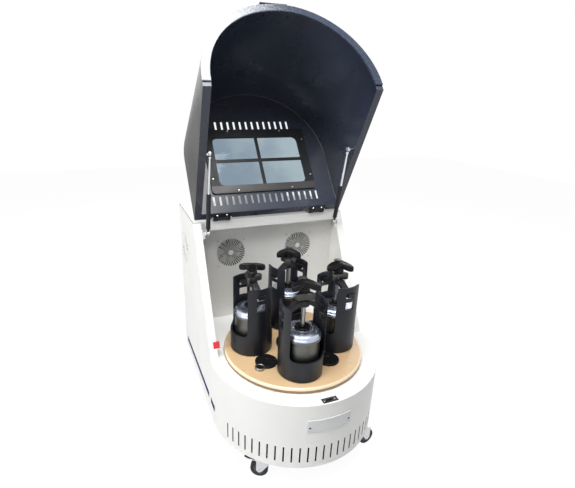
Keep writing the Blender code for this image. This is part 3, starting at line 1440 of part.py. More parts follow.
def jar_lid(number, frame):
    """Lid with a rim and a chamfered crown."""
    low = JAR_TOP + FIT_GAP
    profile = [
        (0, low),
        (JAR_FLANGE_RADIUS - LID_EDGE / 4, low),
        (JAR_FLANGE_RADIUS - LID_EDGE / 4, low + LID_RIM),
        (JAR_RADIUS - LID_EDGE / 4, low + LID_RIM),
        (JAR_RADIUS - LID_EDGE / 4, low + LID_HEIGHT - LID_EDGE),
        (JAR_RADIUS - LID_EDGE, low + LID_HEIGHT - LID_EDGE / 3),
        (JAR_RADIUS - 2 * LID_EDGE, low + LID_HEIGHT),
        (0, low + LID_HEIGHT),
    ]
    bm = bmesh.new()
    lathe(bm, profile, JAR_STEPS)
    make("jar_lid_" + number, bm, "stainless", frame)


def clamp_bar(number, frame):
    """Cranked bar whose ends hook under the uprights' upper notches."""
    top = UPPER_NOTCH[1] - FIT_GAP
    low = top - BAR_THICKNESS
    crown = top + BAR_CROWN_RISE
    lean = BAR_THICKNESS / 5
    right = [
        (BAR_HALF_LENGTH, low),
        (BAR_HALF_LENGTH, top),
        (BAR_TAB, top),
        (BAR_CROWN, crown),
    ]
    under = [(BAR_CROWN - lean, crown - BAR_THICKNESS), (BAR_TAB - lean, low)]
    outline = right + [(-x, z) for x, z in right[::-1]]
    outline += [(-x, z) for x, z in under[::-1]] + under
    bm = bmesh.new()
    prism_y(bm, outline, -BAR_WIDTH / 2, BAR_WIDTH / 2)
    bar = make("clamp_bar_" + number, bm, "black_metal", frame)
    bm = bmesh.new()
    boss = circle((0, 0), BOSS_RADIUS, ROUND_STEPS)
    prism_z(bm, boss, crown - BAR_THICKNESS - BOSS_LIP, crown + BOSS_LIP)
    carve(bar, "boss", bm, "UNION")
    bm = bmesh.new()
    bore = circle((0, 0), SCREW_SPINDLE_RADIUS + FIT_GAP, LOBE_STEPS)
    prism_z(bm, bore, crown - BAR_THICKNESS - OVERRUN, crown + OVERRUN)
    carve(bar, "bore", bm)


def lobed(lobe, waist, inset, height, start, turn, droop=0.0):
    """Smooth outline with lobes that can droop; start turns its first point."""
    points = []
    for i in range(LOBE_STEPS):
        angle = start + 2 * pi * i / LOBE_STEPS
        swell = (0.5 + 0.5 * cos(KNOB_LOBES * (angle - turn))) ** LOBE_SHARPNESS
        radius = waist + (lobe - waist) * swell - inset
        points.append((radius * cos(angle), radius * sin(angle), height - droop * swell))
    return points


def ring(radius, height, start):
    points = []
    for i in range(LOBE_STEPS):
        angle = start + 2 * pi * i / LOBE_STEPS
        points.append((radius * cos(angle), radius * sin(angle), height))
    return points


def clamp_screw(number, frame):
    """Spindle with its pressure foot, lobed lock nut and star knob."""
    index = int(number) - 1
    start = KNOB_TURN[index]
    nut_turn = start + NUT_TURN_STEPS[index] * 2 * pi / LOBE_STEPS
    foot_low = JAR_TOP + FIT_GAP + LID_HEIGHT + FIT_GAP
    foot_top = foot_low + FOOT_HEIGHT
    knob_low = KNOB_BOTTOM + KNOB_RISE[index]
    knob_top = knob_low + KNOB_HEIGHT
    nut_low = UPPER_NOTCH[1] - FIT_GAP + BAR_CROWN_RISE + BOSS_LIP + RUN_GAP + NUT_RISE[index]
    nut_top = nut_low + NUT_HEIGHT
    nut_edge = NUT_HEIGHT / 4
    spindle = SCREW_SPINDLE_RADIUS
    half = KNOB_ROUND / 2
    rings = [
        ring(FOOT_RADIUS, foot_low, start),
        ring(FOOT_RADIUS, foot_top - FOOT_HEIGHT / 3, start),
        ring(spindle + FOOT_HEIGHT / 2, foot_top, start),
        ring(spindle, foot_top + FOOT_HEIGHT / 2, start),
        ring(spindle, nut_low, start),
        ring(NUT_WAIST, nut_low + FIT_GAP, start),
        lobed(NUT_LOBE, NUT_WAIST, 0, nut_low + nut_edge, start, nut_turn),
        lobed(NUT_LOBE, NUT_WAIST, 0, nut_top - nut_edge, start, nut_turn),
        lobed(NUT_LOBE, NUT_WAIST, nut_edge, nut_top, start, nut_turn),
        ring(spindle, nut_top + FIT_GAP, start),
        ring(KNOB_HUB_RADIUS, nut_top + KNOB_NECK, start),
        ring(KNOB_HUB_RADIUS, knob_low - FIT_GAP, start),
        lobed(KNOB_LOBE, KNOB_WAIST, half, knob_low, start, start, KNOB_DROOP),
        lobed(KNOB_LOBE, KNOB_WAIST, 0, knob_low + half, start, start, KNOB_DROOP),
        lobed(KNOB_LOBE, KNOB_WAIST, 0, knob_top - KNOB_ROUND, start, start, KNOB_DROOP),
        lobed(KNOB_LOBE, KNOB_WAIST, KNOB_ROUND, knob_top, start, start, KNOB_DROOP),
        ring(KNOB_WAIST / 2, knob_top, start),
    ]
    bm = bmesh.new()
    loft(bm, rings)
    make("clamp_screw_" + number, bm, "black_plastic", frame)


def planets():
    for index in range(4):
        number = str(index + 1)
        x, y = planet_place(index)
        frame = empty("planet_axis_" + number, (x, y, DISC_TOP_Z), (0, 0, PLANET_FACING[index]))
        jar_holder(number, frame)
        grinding_jar(number, frame)
        jar_lid(number, frame)
        clamp_bar(number, frame)
        clamp_screw(number, frame)


def wheel(bm, place):
    """A tyre and hub on an axle along Y, with its centre at a place."""
    bore = AXLE_RADIUS + FIT_GAP
    half = WHEEL_WIDTH / 2
    profile = [
        (bore, -half),
        (WHEEL_RADIUS - WHEEL_ROUND, -half),
        (WHEEL_RADIUS, WHEEL_ROUND - half),
        (WHEEL_RADIUS, half - WHEEL_ROUND),
        (WHEEL_RADIUS - WHEEL_ROUND, half),
        (bore, half),
    ]
    verts = lathe(bm, profile, ROUND_STEPS)
    move(bm, verts, Matrix.Translation(place) @ Matrix.Rotation(pi / 2, 4, "X"))


def fork(bm_parts, trail, stem, place=(0, 0)):
    """Crown, side plates, axle and stem of one caster fork, wheel along +X."""
    x, y = place
    low = CASTER_HEIGHT - FORK_CROWN - FIT_GAP
    top = CASTER_HEIGHT - FIT_GAP
    plate_in = WHEEL_WIDTH / 2 + RUN_GAP
    plate_out = plate_in + FORK_PLATE
    crown, plates, axle = bm_parts
    prism_z(crown, circle((x, y), FORK_CROWN_RADIUS, ROUND_STEPS), low, top)
    if stem:
        lathe(plates, [(0, low + FIT_GAP), (STEM_RADIUS, low + FIT_GAP),
                       (STEM_RADIUS, BASE_Z + BASE_THICKNESS), (0, BASE_Z + BASE_THICKNESS)],
              SMALL_STEPS, (x, y))
    half = FORK_WIDTH / 2
    outline = [
        (x - half, low + FORK_CROWN / 2),
        (x - half, low - FORK_CROWN),
        (x + trail - FORK_BOSS, WHEEL_RADIUS - FORK_BOSS / 2),
        (x + trail, WHEEL_RADIUS - FORK_BOSS),
        (x + trail + FORK_BOSS, WHEEL_RADIUS),
        (x + trail + FORK_BOSS, low),
        (x + half, low + FORK_CROWN / 2),
    ]
    for side in (-1, 1):
        span = sorted((y + side * plate_in, y + side * plate_out))
        prism_y(plates, outline, *span)
    pin = circle((x + trail, WHEEL_RADIUS), AXLE_RADIUS, SMALL_STEPS)
    prism_y(axle, pin, y - plate_out - FORK_PLATE / 2, y + plate_out + FORK_PLATE / 2)


def front_caster_place(name):
    radius = DRUM_RADIUS - FRONT_CASTER_INSETS[name]
    angle = FRONT_CASTER_ANGLES[name]
    return radius * cos(angle), radius * sin(angle)


def front_caster(name, brake):
    x, y = front_caster_place(name)
    heading = FRONT_CASTER_HEADINGS[name]
    swivel = empty("swivel_" + name, (x, y, 0), (0, 0, heading))
    parts = [bmesh.new() for _ in range(3)]
    fork(parts, FORK_TRAIL, True)
    if brake:
        reach = WHEEL_WIDTH / 2 + RUN_GAP + FORK_PLATE / 2
        pin = circle((PEDAL_PIVOT, PEDAL_RISE), PEDAL_PIN, SMALL_STEPS)
        prism_y(parts[2], pin, -reach, reach)
    piece = make("front_fork_" + name, parts[0], "steel", swivel)
    carve(piece, "plates", parts[1], "UNION")
    carve(piece, "axle", parts[2], "UNION")
    axle = empty("axle_" + name, (FORK_TRAIL, 0, WHEEL_RADIUS), parent=swivel)
    bm = bmesh.new()
    wheel(bm, (0, 0, 0))
    make("front_wheel_" + name, bm, "rubber", axle)
    if not brake:
        return
    hinge = empty("pedal_axis", (PEDAL_PIVOT, 0, PEDAL_RISE), parent=swivel)
    half = WHEEL_WIDTH / 2
    bore = PEDAL_PIN + FIT_GAP
    bm = bmesh.new()
    verts = lathe(bm, [(bore, -half), (PEDAL_BARREL, -half), (PEDAL_BARREL, half), (bore, half)],
                  SMALL_STEPS)
    move(bm, verts, Matrix.Rotation(pi / 2, 4, "X"))
    pedal = make("brake_pedal", bm, "chrome", hinge)
    bm = bmesh.new()
    outline = [
        (bore + PEDAL_THICKNESS / 3, 0),
        (PEDAL_REACH, PEDAL_THICKNESS),
        (PEDAL_REACH + PEDAL_TIP, PEDAL_TIP),
        (PEDAL_REACH + PEDAL_TIP, PEDAL_TIP + PEDAL_THICKNESS),
        (PEDAL_REACH - PEDAL_THICKNESS, 2 * PEDAL_THICKNESS),
        (bore + PEDAL_THICKNESS / 3, PEDAL_THICKNESS),
    ]
    inset = FIT_GAP
    prism_y(bm, outline, inset - half, half - inset)
    carve(pedal, "plate", bm, "UNION")


def rear_caster(name, side):
    mount = empty("rear_mount_" + name, (side * REAR_CASTER_X, REAR_CASTER_Y, 0), (0, 0, pi / 2))
    parts = [bmesh.new() for _ in range(3)]
    fork(parts, 0, False)
    piece = make("rear_fork_" + name, parts[0], "steel", mount)
    carve(piece, "plates", parts[1], "UNION")
    carve(piece, "axle", parts[2], "UNION")
    axle = empty("rear_axle_" + name, (0, 0, WHEEL_RADIUS), parent=mount)
    bm = bmesh.new()
    wheel(bm, (0, 0, 0))
    make("rear_wheel_" + name, bm, "rubber", axle)


def stand_on_middle():
    """Carry every piece by one frame, so the origin lies on the floor under the middle."""
    front = DRUM_RADIUS + FIT_GAP + LABEL_THICKNESS
    back = HINGE_Y - (HOOD_RADIUS + HINGE_Y) * cos(HOOD_OPEN_ANGLE)
    stand = empty("mill_stand", (0, (front - back) / 2, 0))
    for piece in bpy.data.objects:
        if piece.parent is None and piece != stand:
            piece.parent = stand


weld_strut_brackets(cabinet_shell())
fan_panel()
tower_cover()
base_plate()
label_plate()
latch_strike()
lid_sensor()
drive_motor()
sun_pulley()
power_inlet()
control_panel()
stop_button()
hood = hood_pivot()
hood_shell(hood)
hood_gasket(hood)
window_frame(hood)
window_pane(hood)
hood_handle(hood)
for name, side in (("left", -1), ("right", 1)):
    tower_hinge_leaf("tower_hinge_leaf_" + name, side)
    hood_hinge_leaf("hood_hinge_leaf_" + name, hood, side)
    gas_strut(name, side)
    fan_frame("fan_frame_" + name, side)
    fan_rotor("fan_rotor_" + name, side)
    front_caster(name, name == "left")
    rear_caster(name, side)
turntable()
planets()
stand_on_middle()
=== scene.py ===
# %% [markdown]
# # Dressing a planetary ball mill
# The real machine is a white powder-coated cabinet on casters. Its round front carries a
# turntable with four steel jars, and a hood with a window swings up on two gas struts.
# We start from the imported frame, which already says where every piece sits and how it moves,
# and give each piece its fine shape and finish.

# %% Load the frame
import json
from math import cos, hypot, pi, radians, sin

import bmesh
import bpy
from mathutils import Matrix, Vector


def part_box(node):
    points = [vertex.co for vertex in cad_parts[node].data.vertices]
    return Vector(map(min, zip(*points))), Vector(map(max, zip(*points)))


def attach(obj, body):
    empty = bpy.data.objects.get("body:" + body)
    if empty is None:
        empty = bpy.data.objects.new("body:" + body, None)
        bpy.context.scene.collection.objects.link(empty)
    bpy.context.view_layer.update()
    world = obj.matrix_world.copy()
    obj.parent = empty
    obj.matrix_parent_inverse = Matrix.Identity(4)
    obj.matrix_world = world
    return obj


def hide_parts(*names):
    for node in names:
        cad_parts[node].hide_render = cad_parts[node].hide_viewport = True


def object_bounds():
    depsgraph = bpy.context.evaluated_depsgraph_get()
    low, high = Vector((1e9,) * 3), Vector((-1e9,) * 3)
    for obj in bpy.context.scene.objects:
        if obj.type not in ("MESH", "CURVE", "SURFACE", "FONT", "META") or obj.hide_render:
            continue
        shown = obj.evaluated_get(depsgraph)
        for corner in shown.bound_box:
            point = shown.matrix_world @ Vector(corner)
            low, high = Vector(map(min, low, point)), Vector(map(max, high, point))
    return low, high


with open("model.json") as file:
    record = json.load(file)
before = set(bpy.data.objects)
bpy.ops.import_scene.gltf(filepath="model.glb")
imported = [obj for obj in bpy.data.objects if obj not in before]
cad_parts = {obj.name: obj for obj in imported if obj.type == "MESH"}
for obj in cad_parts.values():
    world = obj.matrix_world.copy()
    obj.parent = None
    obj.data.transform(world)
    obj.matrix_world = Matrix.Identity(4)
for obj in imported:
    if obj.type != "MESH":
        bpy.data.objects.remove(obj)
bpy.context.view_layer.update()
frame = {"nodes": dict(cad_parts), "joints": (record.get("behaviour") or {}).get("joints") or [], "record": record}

record = frame["record"]
body_of = {node: body for body, nodes in record["behaviour"]["bodies"].items() for node in nodes}

# %% [markdown]
# The sizes of this machine are easiest to read in millimetres from the turntable's axis. The
# axis and the top of the disc are read from the frame, so that they can't disagree with it.
# Y runs to the back and Z upwards.

# %% Where things are
MM = 0.001
CAP_GAP = 0.3 * MM
SHELL_RADIUS = 300
DECK_HEIGHT = 331
HINGE_BACK = 243
HINGE_HEIGHT = 771
OPEN_ANGLE = radians(127.7)
cap_low, cap_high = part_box("hub_cap")
AXIS = Vector(((cap_low[0] + cap_high[0]) / 2, (cap_low[1] + cap_high[1]) / 2, 0))
DISC_TOP = cap_low[2] - CAP_GAP


def at(x, y, z):
    """A place in the frame, from millimetres beside the turntable's axis."""
    return AXIS + Vector((x, y, z)) * MM


HINGE = at(0, HINGE_BACK, HINGE_HEIGHT)
HOOD_TURN = (Matrix.Translation(HINGE) @ Matrix.Rotation(-OPEN_ANGLE, 4, "X")
             @ Matrix.Translation(-HINGE))
UNTURN = HOOD_TURN.inverted()
print("turntable axis", AXIS, "disc top", DISC_TOP)

# %% [markdown]
# The camera repeats the photograph's view: about a metre and a half away, to the left of the
# machine and looking down on it. A wide lens gives the strong perspective, and the shift
# moves the picture without turning the camera, as cropping a photograph does.

# %% Camera
view_right = Vector((0.9436605, -0.3306066, 0.01428738))
view_up = Vector((0.10506695, 0.34027809, 0.9344366))
view_back = view_right.cross(view_up)
camera_data = bpy.data.cameras.new("photo_camera")
camera_data.lens = 25.25
camera_data.sensor_width = 36
camera_data.shift_x = 0.0559
camera_data.shift_y = 0.0076
camera_data.clip_end = 50
camera = bpy.data.objects.new("photo_camera", camera_data)
bpy.context.scene.collection.objects.link(camera)
camera.matrix_world = (Matrix.Translation(at(-551.565, -1134.199, 1195.646))
                       @ Matrix((view_right, view_up, view_back)).transposed().to_4x4())
bpy.context.scene.camera = camera
print("camera at", camera.location)

# %% [markdown]
# The world, the floor and every finish are small graphs of shader nodes. A few helpers make
# the steps that all of them share, so that a graph below reads like a list of its steps.

# %% Helpers for shader nodes
def feed(tree, socket, value):
    """Link an input to another node's output, or set its value."""
    if isinstance(value, bpy.types.NodeSocket):
        tree.links.new(value, socket)
    else:
        socket.default_value = value


def dial(tree, node, **values):
    """Feed a node's inputs by name; "_" stands for a space."""
    for label, value in values.items():
        feed(tree, node.inputs[label.replace("_", " ")], value)
    return node


def add_node(tree, kind, **values):
    """A new shader node with its inputs set."""
    return dial(tree, tree.nodes.new("ShaderNode" + kind), **values)


def reckon(tree, operation, first, second):
    """One sum on two numbers or sockets."""
    node = add_node(tree, "Math")
    node.operation = operation
    feed(tree, node.inputs[0], first)
    feed(tree, node.inputs[1], second)
    return node.outputs[0]


def blend_shaders(tree, factor, first, second, end):
    """Show one shader or another, and send the blend to the end node's surface."""
    blend = add_node(tree, "MixShader", Fac=factor)
    feed(tree, blend.inputs[1], first.outputs[0])
    feed(tree, blend.inputs[2], second.outputs[0])
    dial(tree, tree.nodes[end], Surface=blend.outputs[0])


# %% [markdown]
# A product picture has a white ground. Stronger lamps could make it white, but they would
# burn out the machine as well. So the world is plain white only for rays that come from the
# camera, from a mirror face or through glass, and a weak sky for all rays that give light.

# %% World
def seen_directly(tree):
    """One for rays from the camera, a mirror or glass, and zero for rays that light."""
    rays = add_node(tree, "LightPath").outputs
    seen = reckon(tree, "MAXIMUM", rays["Is Camera Ray"], rays["Is Glossy Ray"])
    return reckon(tree, "MAXIMUM", seen, rays["Is Transmission Ray"])


scene = bpy.context.scene
scene.view_settings.view_transform = "Standard"
world = bpy.data.worlds.new("studio")
scene.world = world
world.use_nodes = True
tree = world.node_tree
sky = dial(tree, tree.nodes["Background"], Color=(0.93, 0.96, 1.0, 1), Strength=0.23)
white = add_node(tree, "Background", Color=(1, 1, 1, 1), Strength=1.0)
blend_shaders(tree, seen_directly(tree), sky, white, "World Output")
print("world", world.name, "with", len(tree.nodes), "nodes")

# %% [markdown]
# Large soft panels stand round the machine, as in a studio. The strong ones are at the left
# and above, where the photograph has its light, and the weak ones keep the other sides from
# going black. Small lamps would give hard shadows and hot spots on the steel.

# %% Soft panels of light
def light_panel(name, place, size, power, aim_at=(0, 0, 0.6), tint=(1, 1, 1)):
    """A square panel lamp that faces a point of the machine."""
    data = bpy.data.lights.new(name, "AREA")
    data.shape = "SQUARE"
    data.size = size
    data.energy = power
    data.color = tint
    lamp = bpy.data.objects.new(name, data)
    scene.collection.objects.link(lamp)
    lamp.location = place
    lamp.rotation_euler = (Vector(place) - Vector(aim_at)).to_track_quat("Z", "Y").to_euler()


light_panel("panel_left", (-2.7, -0.9, 2.1), 1.4, 56)
light_panel("panel_right", (2.4, -1.8, 1.9), 1.6, 1, tint=(0.95, 0.97, 1))
light_panel("panel_top", (-0.3, -0.7, 3.1), 1.5, 78, (0, 0, 0.4))
light_panel("panel_low", (-1.2, -2.5, 0.8), 1.2, 2, (0, 0, 0.5))
light_panel("panel_back", (-0.4, 2.9, 2.0), 1.8, 24, (0, 0, 0.7))
light_panel("panel_back_right", (2.9, 1.7, 1.8), 1.6, 13)

# %% [markdown]
# The floor is a plain pale sheet. Most of what is seen of it is its own white glow, as with
# the world, and the rest is paper, which keeps the shadow of the machine under the casters.

# %% Floor
FLOOR_REACH = 6
FLOOR_GAP = 0.4 * MM
GLOW_SHARE = 0.88
bm = bmesh.new()
bmesh.ops.create_grid(bm, x_segments=1, y_segments=1, size=FLOOR_REACH)
floor_mesh = bpy.data.meshes.new("floor")
bm.to_mesh(floor_mesh)
bm.free()
floor = bpy.data.objects.new("floor", floor_mesh)
scene.collection.objects.link(floor)
floor.location.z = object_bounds()[0][2] - FLOOR_GAP
paper = bpy.data.materials.new("floor_paper")
paper.use_nodes = True
tree = paper.node_tree
sheet = dial(tree, tree.nodes["Principled BSDF"], Base_Color=(0.6, 0.6, 0.6, 1), Roughness=0.9,
             Specular_IOR_Level=0.1)
glow = add_node(tree, "Emission", Color=(1, 1, 1, 1), Strength=1.09)
share = reckon(tree, "MULTIPLY", seen_directly(tree), GLOW_SHARE)
blend_shaders(tree, share, sheet, glow, "Material Output")
floor_mesh.materials.append(paper)
print("floor at", floor.location.z)

# %% [markdown]
# ## Finishes
# Real coatings are never one flat colour. Four effects come back in most of them: a fine grain
# with broad patches, rubbed edges, brushed lines, and dust. Each is a shader group that is
# built once and placed in every finish that needs it, so that one change reaches them all.

# %% A helper for shader groups
def new_group(name, label, value, outputs):
    """A shader group that takes a vector and one more input; returns its end nodes too."""
    group = bpy.data.node_groups.new(name, "ShaderNodeTree")
    group.interface.new_socket(name="Vector", in_out="INPUT", socket_type="NodeSocketVector")
    kind = "NodeSocketVector" if value is None else "NodeSocketFloat"
    socket = group.interface.new_socket(name=label, in_out="INPUT", socket_type=kind)
    if value is not None:
        socket.default_value = value
    for label in outputs:
        group.interface.new_socket(name=label, in_out="OUTPUT", socket_type="NodeSocketFloat")
    return group, group.nodes.new("NodeGroupInput"), group.nodes.new("NodeGroupOutput")


# %% [markdown]
# Noise gives soft random values, and a ramp stretches them to the range that a look needs.

# %% Helpers for soft values
def noise(tree, scale, detail, vector):
    """Soft random values; the scale is a number or a socket."""
    return add_node(tree, "TexNoise", Scale=scale, Detail=detail, Vector=vector).outputs["Fac"]


def ramp(tree, value, low, high, to_low=0.0, to_high=1.0):
    """Stretch a value from low..high to another range, clamped with soft ends."""
    node = add_node(tree, "MapRange", Value=value, From_Min=low, From_Max=high, To_Min=to_low,
                    To_Max=to_high)
    node.interpolation_type = "SMOOTHSTEP"
    return node.outputs["Result"]


# %% [markdown]
# Powder coat and paint have a fine grain, like the skin of an orange, and their colour drifts
# over a hand's width. Both are noise, one fine and one broad. The soft ramp keeps the edges
# of the patches from showing as outlines.

# %% Grain and patches
grain, g_in, g_out = new_group("Coat grain", "Scale", 900.0, ["Height", "Patch"])
fine = noise(grain, g_in.outputs["Scale"], detail=2.0, vector=g_in.outputs["Vector"])
broad = noise(grain, scale=7.0, detail=3.0, vector=g_in.outputs["Vector"])
dial(grain, g_out, Height=fine, Patch=ramp(grain, broad, low=0.2, high=0.8))
print("group", grain.name)

# %% [markdown]
# Hands and tools rub a coat through at its edges first. Pointiness finds the edges, and
# multiplying it by noise breaks the line up, because real wear is never even.

# %% Rubbed edges
rub, r_in, r_out = new_group("Rubbed edges", "Amount", 0.5, ["Mask"])
geometry = add_node(rub, "NewGeometry")
edge = ramp(rub, geometry.outputs["Pointiness"], low=0.56, high=0.68)
flaws = noise(rub, scale=90.0, detail=4.0, vector=r_in.outputs["Vector"])
worn = reckon(rub, "MULTIPLY", edge, ramp(rub, flaws, low=0.42, high=0.62))
dial(rub, r_out, Mask=reckon(rub, "MULTIPLY", worn, r_in.outputs["Amount"]))
print("group", rub.name)

# %% [markdown]
# Turned steel shows fine lines round the piece. Noise becomes lines when its space is
# stretched much more along one direction than along the others.

# %% Brushed lines
brush, b_in, b_out = new_group("Brushed lines", "Lines", None, ["Height", "Tone"])
stretch = add_node(brush, "VectorMath")
stretch.operation = "MULTIPLY"
feed(brush, stretch.inputs[0], b_in.outputs["Vector"])
feed(brush, stretch.inputs[1], b_in.outputs["Lines"])
lines = noise(brush, scale=1.0, detail=3.0, vector=stretch.outputs[0])
dial(brush, b_out, Height=lines, Tone=ramp(brush, lines, low=0.3, high=0.7))
print("group", brush.name)

# %% [markdown]
# Dust falls from above, so it lies where the normal points up. Noise gathers it in flecks.

# %% Lying dust
dust, d_in, d_out = new_group("Lying dust", "Amount", 0.3, ["Mask"])
normal = add_node(dust, "NewGeometry").outputs["Normal"]
split = add_node(dust, "SeparateXYZ", Vector=normal)
upward = ramp(dust, split.outputs["Z"], low=0.55, high=1.0)
flecks = noise(dust, scale=45.0, detail=6.0, vector=d_in.outputs["Vector"])
lying = reckon(dust, "MULTIPLY", upward, ramp(dust, flecks, low=0.35, high=0.75))
dial(dust, d_out, Mask=reckon(dust, "MULTIPLY", lying, d_in.outputs["Amount"]))
print("group", dust.name)

# %% [markdown]
# One function turns a short description into a finish: two close colours that drift into
# each other, a roughness range, grain, and how much its edges are rubbed and dusty. The
# Principled shader stays in each material, where every surface can have its own.

# %% Helpers for the finish maker
DUST_COLOUR = (0.62, 0.60, 0.56)
COAT_ROUGHNESS = 0.12


def place_group(tree, group, vector, **values):
    """Put a shader group in a material, with its own values."""
    node = add_node(tree, "Group")
    node.node_tree = group
    return dial(tree, node, Vector=vector, **values)


def mix_colour(tree, factor, first, second):
    """Go from one colour to another; each is a tuple or a socket."""
    node = add_node(tree, "Mix", Factor=factor)
    node.data_type = "RGBA"
    for label, value in (("A", first), ("B", second)):
        socket = [s for s in node.inputs if s.name == label and s.type == "RGBA"][0]
        feed(tree, socket, (*value, 1) if isinstance(value, tuple) else value)
    return [s for s in node.outputs if s.type == "RGBA"][0]


# %% Finish maker
def finish(name, colour, shade, rough, metallic=0.0, scale=900.0, depth=4e-5, rubbed=0.0,
           rub_colour=(0.6, 0.6, 0.6), dusty=0.0, lines=None, coat=0.0, specular=0.5):
    """A procedural finish on a Principled shader."""
    made = bpy.data.materials.new(name)
    made.use_nodes = True
    tree = made.node_tree
    where = add_node(tree, "TexCoord").outputs["Object"]
    body = place_group(tree, grain, where, Scale=scale)
    tone, height = body.outputs["Patch"], body.outputs["Height"]
    if lines:
        streaks = place_group(tree, brush, where, Lines=lines)
        tone, height = streaks.outputs["Tone"], streaks.outputs["Height"]
    colour_out = mix_colour(tree, tone, colour, shade)
    if rubbed:
        mask = place_group(tree, rub, where, Amount=rubbed).outputs["Mask"]
        colour_out = mix_colour(tree, mask, colour_out, rub_colour)
    if dusty:
        mask = place_group(tree, dust, where, Amount=dusty).outputs["Mask"]
        colour_out = mix_colour(tree, mask, colour_out, DUST_COLOUR)
    bump = add_node(tree, "Bump", Distance=depth, Strength=1.0, Height=height)
    dial(tree, tree.nodes["Principled BSDF"], Base_Color=colour_out, Metallic=metallic,
         Roughness=ramp(tree, tone, 0, 1, *rough), Specular_IOR_Level=specular, Coat_Weight=coat,
         Coat_Roughness=COAT_ROUGHNESS, Normal=bump.outputs["Normal"])
    return made


# %% [markdown]
# The cabinet is warm white powder coat. The hood is a grey coat outside, painted darker as painted shade, and navy
# inside, and the jar holders are blackened steel with a blue cast. The disc has a tan coating, with a painted
# highlight on its rounded rim and painted shade in brown below it. The dark primer paints the shade in slots and
# hidden insides. Apart from these, the colours are those of the paints themselves, and the light does the rest.

# %% Painted and coated metal
powder_coat = finish("white_powder_coat", (0.89, 0.887, 0.86), (0.86, 0.857, 0.83), (0.32, 0.42),
                     scale=1400, depth=6e-5, rubbed=0.15, rub_colour=(0.6, 0.61, 0.62))
# A dark primer colour paints the shade inside the cabinet and in its slots.
primer_painted_shade = finish("dark_primer_painted_shade", (0.035, 0.036, 0.04), (0.025, 0.026, 0.03), (0.6, 0.75))
label_coat = finish("label_plate_coat", (0.74, 0.742, 0.74), (0.70, 0.702, 0.70), (0.26, 0.34),
                    scale=1600, depth=3e-5)
# The hood's outside is a grey coat, darkened as painted shade.
hood_outside_painted_shade = finish("grey_hood_coat_painted_shade", (0.05, 0.0488, 0.049), (0.042, 0.0408, 0.041),
                      (0.42, 0.5), scale=1300, depth=5e-5, specular=0.16)
hood_inside = finish("navy_hood_coat", (0.032, 0.040, 0.066), (0.026, 0.032, 0.052), (0.26, 0.30),
                     scale=1300, depth=3e-5, coat=0.2)
black_paint = finish("black_paint", (0.012, 0.013, 0.016), (0.018, 0.019, 0.023), (0.3, 0.4),
                     scale=1100, depth=5e-5, rubbed=0.4, rub_colour=(0.2, 0.21, 0.23),
                     specular=0.28)
holder_black = finish("holder_black_oxide", (0.010, 0.012, 0.018), (0.014, 0.016, 0.022),
                      (0.32, 0.38), scale=1500, depth=3e-5, rubbed=0.3,
                      rub_colour=(0.16, 0.17, 0.19), specular=0.35)
tan_coat = finish("tan_disc_coat", (0.66, 0.465, 0.265), (0.61, 0.42, 0.235), (0.22, 0.3),
                  scale=1500, depth=3e-5, rubbed=0.3, rub_colour=(0.9, 0.78, 0.6), coat=0.35)
# A pale coat on the disc's rounded rim is a painted highlight, and a brown coat below it is painted shade.
disc_rim_painted_highlight = finish("disc_rim_painted_highlight_coat", (0.88, 0.72, 0.50), (0.84, 0.67, 0.45), (0.18, 0.26),
                  scale=1500, depth=3e-5, coat=0.5)
disc_edge_painted_shade = finish("brown_disc_edge_painted_shade", (0.30, 0.19, 0.10), (0.24, 0.15, 0.08), (0.35, 0.5),
                   scale=1300)
cast_paint = finish("grey_casting_paint", (0.20, 0.21, 0.23), (0.15, 0.16, 0.18), (0.45, 0.6),
                    scale=400, depth=0.0003, rubbed=0.4, dusty=0.2)
weld_bead = finish("weld_bead", (0.10, 0.105, 0.12), (0.06, 0.065, 0.08), (0.25, 0.4), scale=260,
                   depth=0.0004)
print("materials so far", len(bpy.data.materials))

# %% [markdown]
# Bare metal is darker than it seems, because a bright part mostly shows the white studio. The
# jars and lids have lines from the lathe, and the chrome has the least roughness.

# %% Bare metal
gun_metal = finish("gun_metal", (0.075, 0.07, 0.072), (0.05, 0.048, 0.05), (0.28, 0.38),
                   metallic=0.3, scale=1200, rubbed=0.4)
polished = finish("brushed_jar_steel", (0.19, 0.195, 0.184), (0.12, 0.124, 0.116), (0.3, 0.42),
                  metallic=1.0, lines=(30, 30, 2600), depth=3e-5)
lid_steel = finish("bright_lid_steel", (0.60, 0.645, 0.76), (0.45, 0.495, 0.61), (0.24, 0.36),
                   metallic=1.0, lines=(60, 60, 1800), depth=3e-5)
spindle_steel = finish("spindle_steel", (0.42, 0.41, 0.39), (0.26, 0.25, 0.24), (0.25, 0.36),
                       metallic=1.0, lines=(40, 40, 2800), depth=0.0001)
# The bright rubbed edges of the nuts are partly wear and partly painted glints.
nut_metal_wear_and_glints = finish("olive_nut_metal_wear_and_glints", (0.09, 0.092, 0.084), (0.05, 0.051, 0.046), (0.24, 0.36),
                   metallic=0.6, scale=700, depth=0.0001, rubbed=0.7,
                   rub_colour=(0.6, 0.6, 0.56))
zinc = finish("zinc_plate", (0.68, 0.69, 0.71), (0.56, 0.57, 0.60), (0.25, 0.38), metallic=1.0,
              scale=500, depth=3e-5, dusty=0.1)
chrome = finish("chrome_plate", (0.80, 0.81, 0.83), (0.72, 0.73, 0.76), (0.06, 0.12),
                metallic=1.0, scale=300, depth=1e-5)
print("with bare metals", len(bpy.data.materials))

# %% [markdown]
# Moulded parts are smooth and a little glossy, tyres are dull and dusty, and the stripe is
# cut from dark blue vinyl.

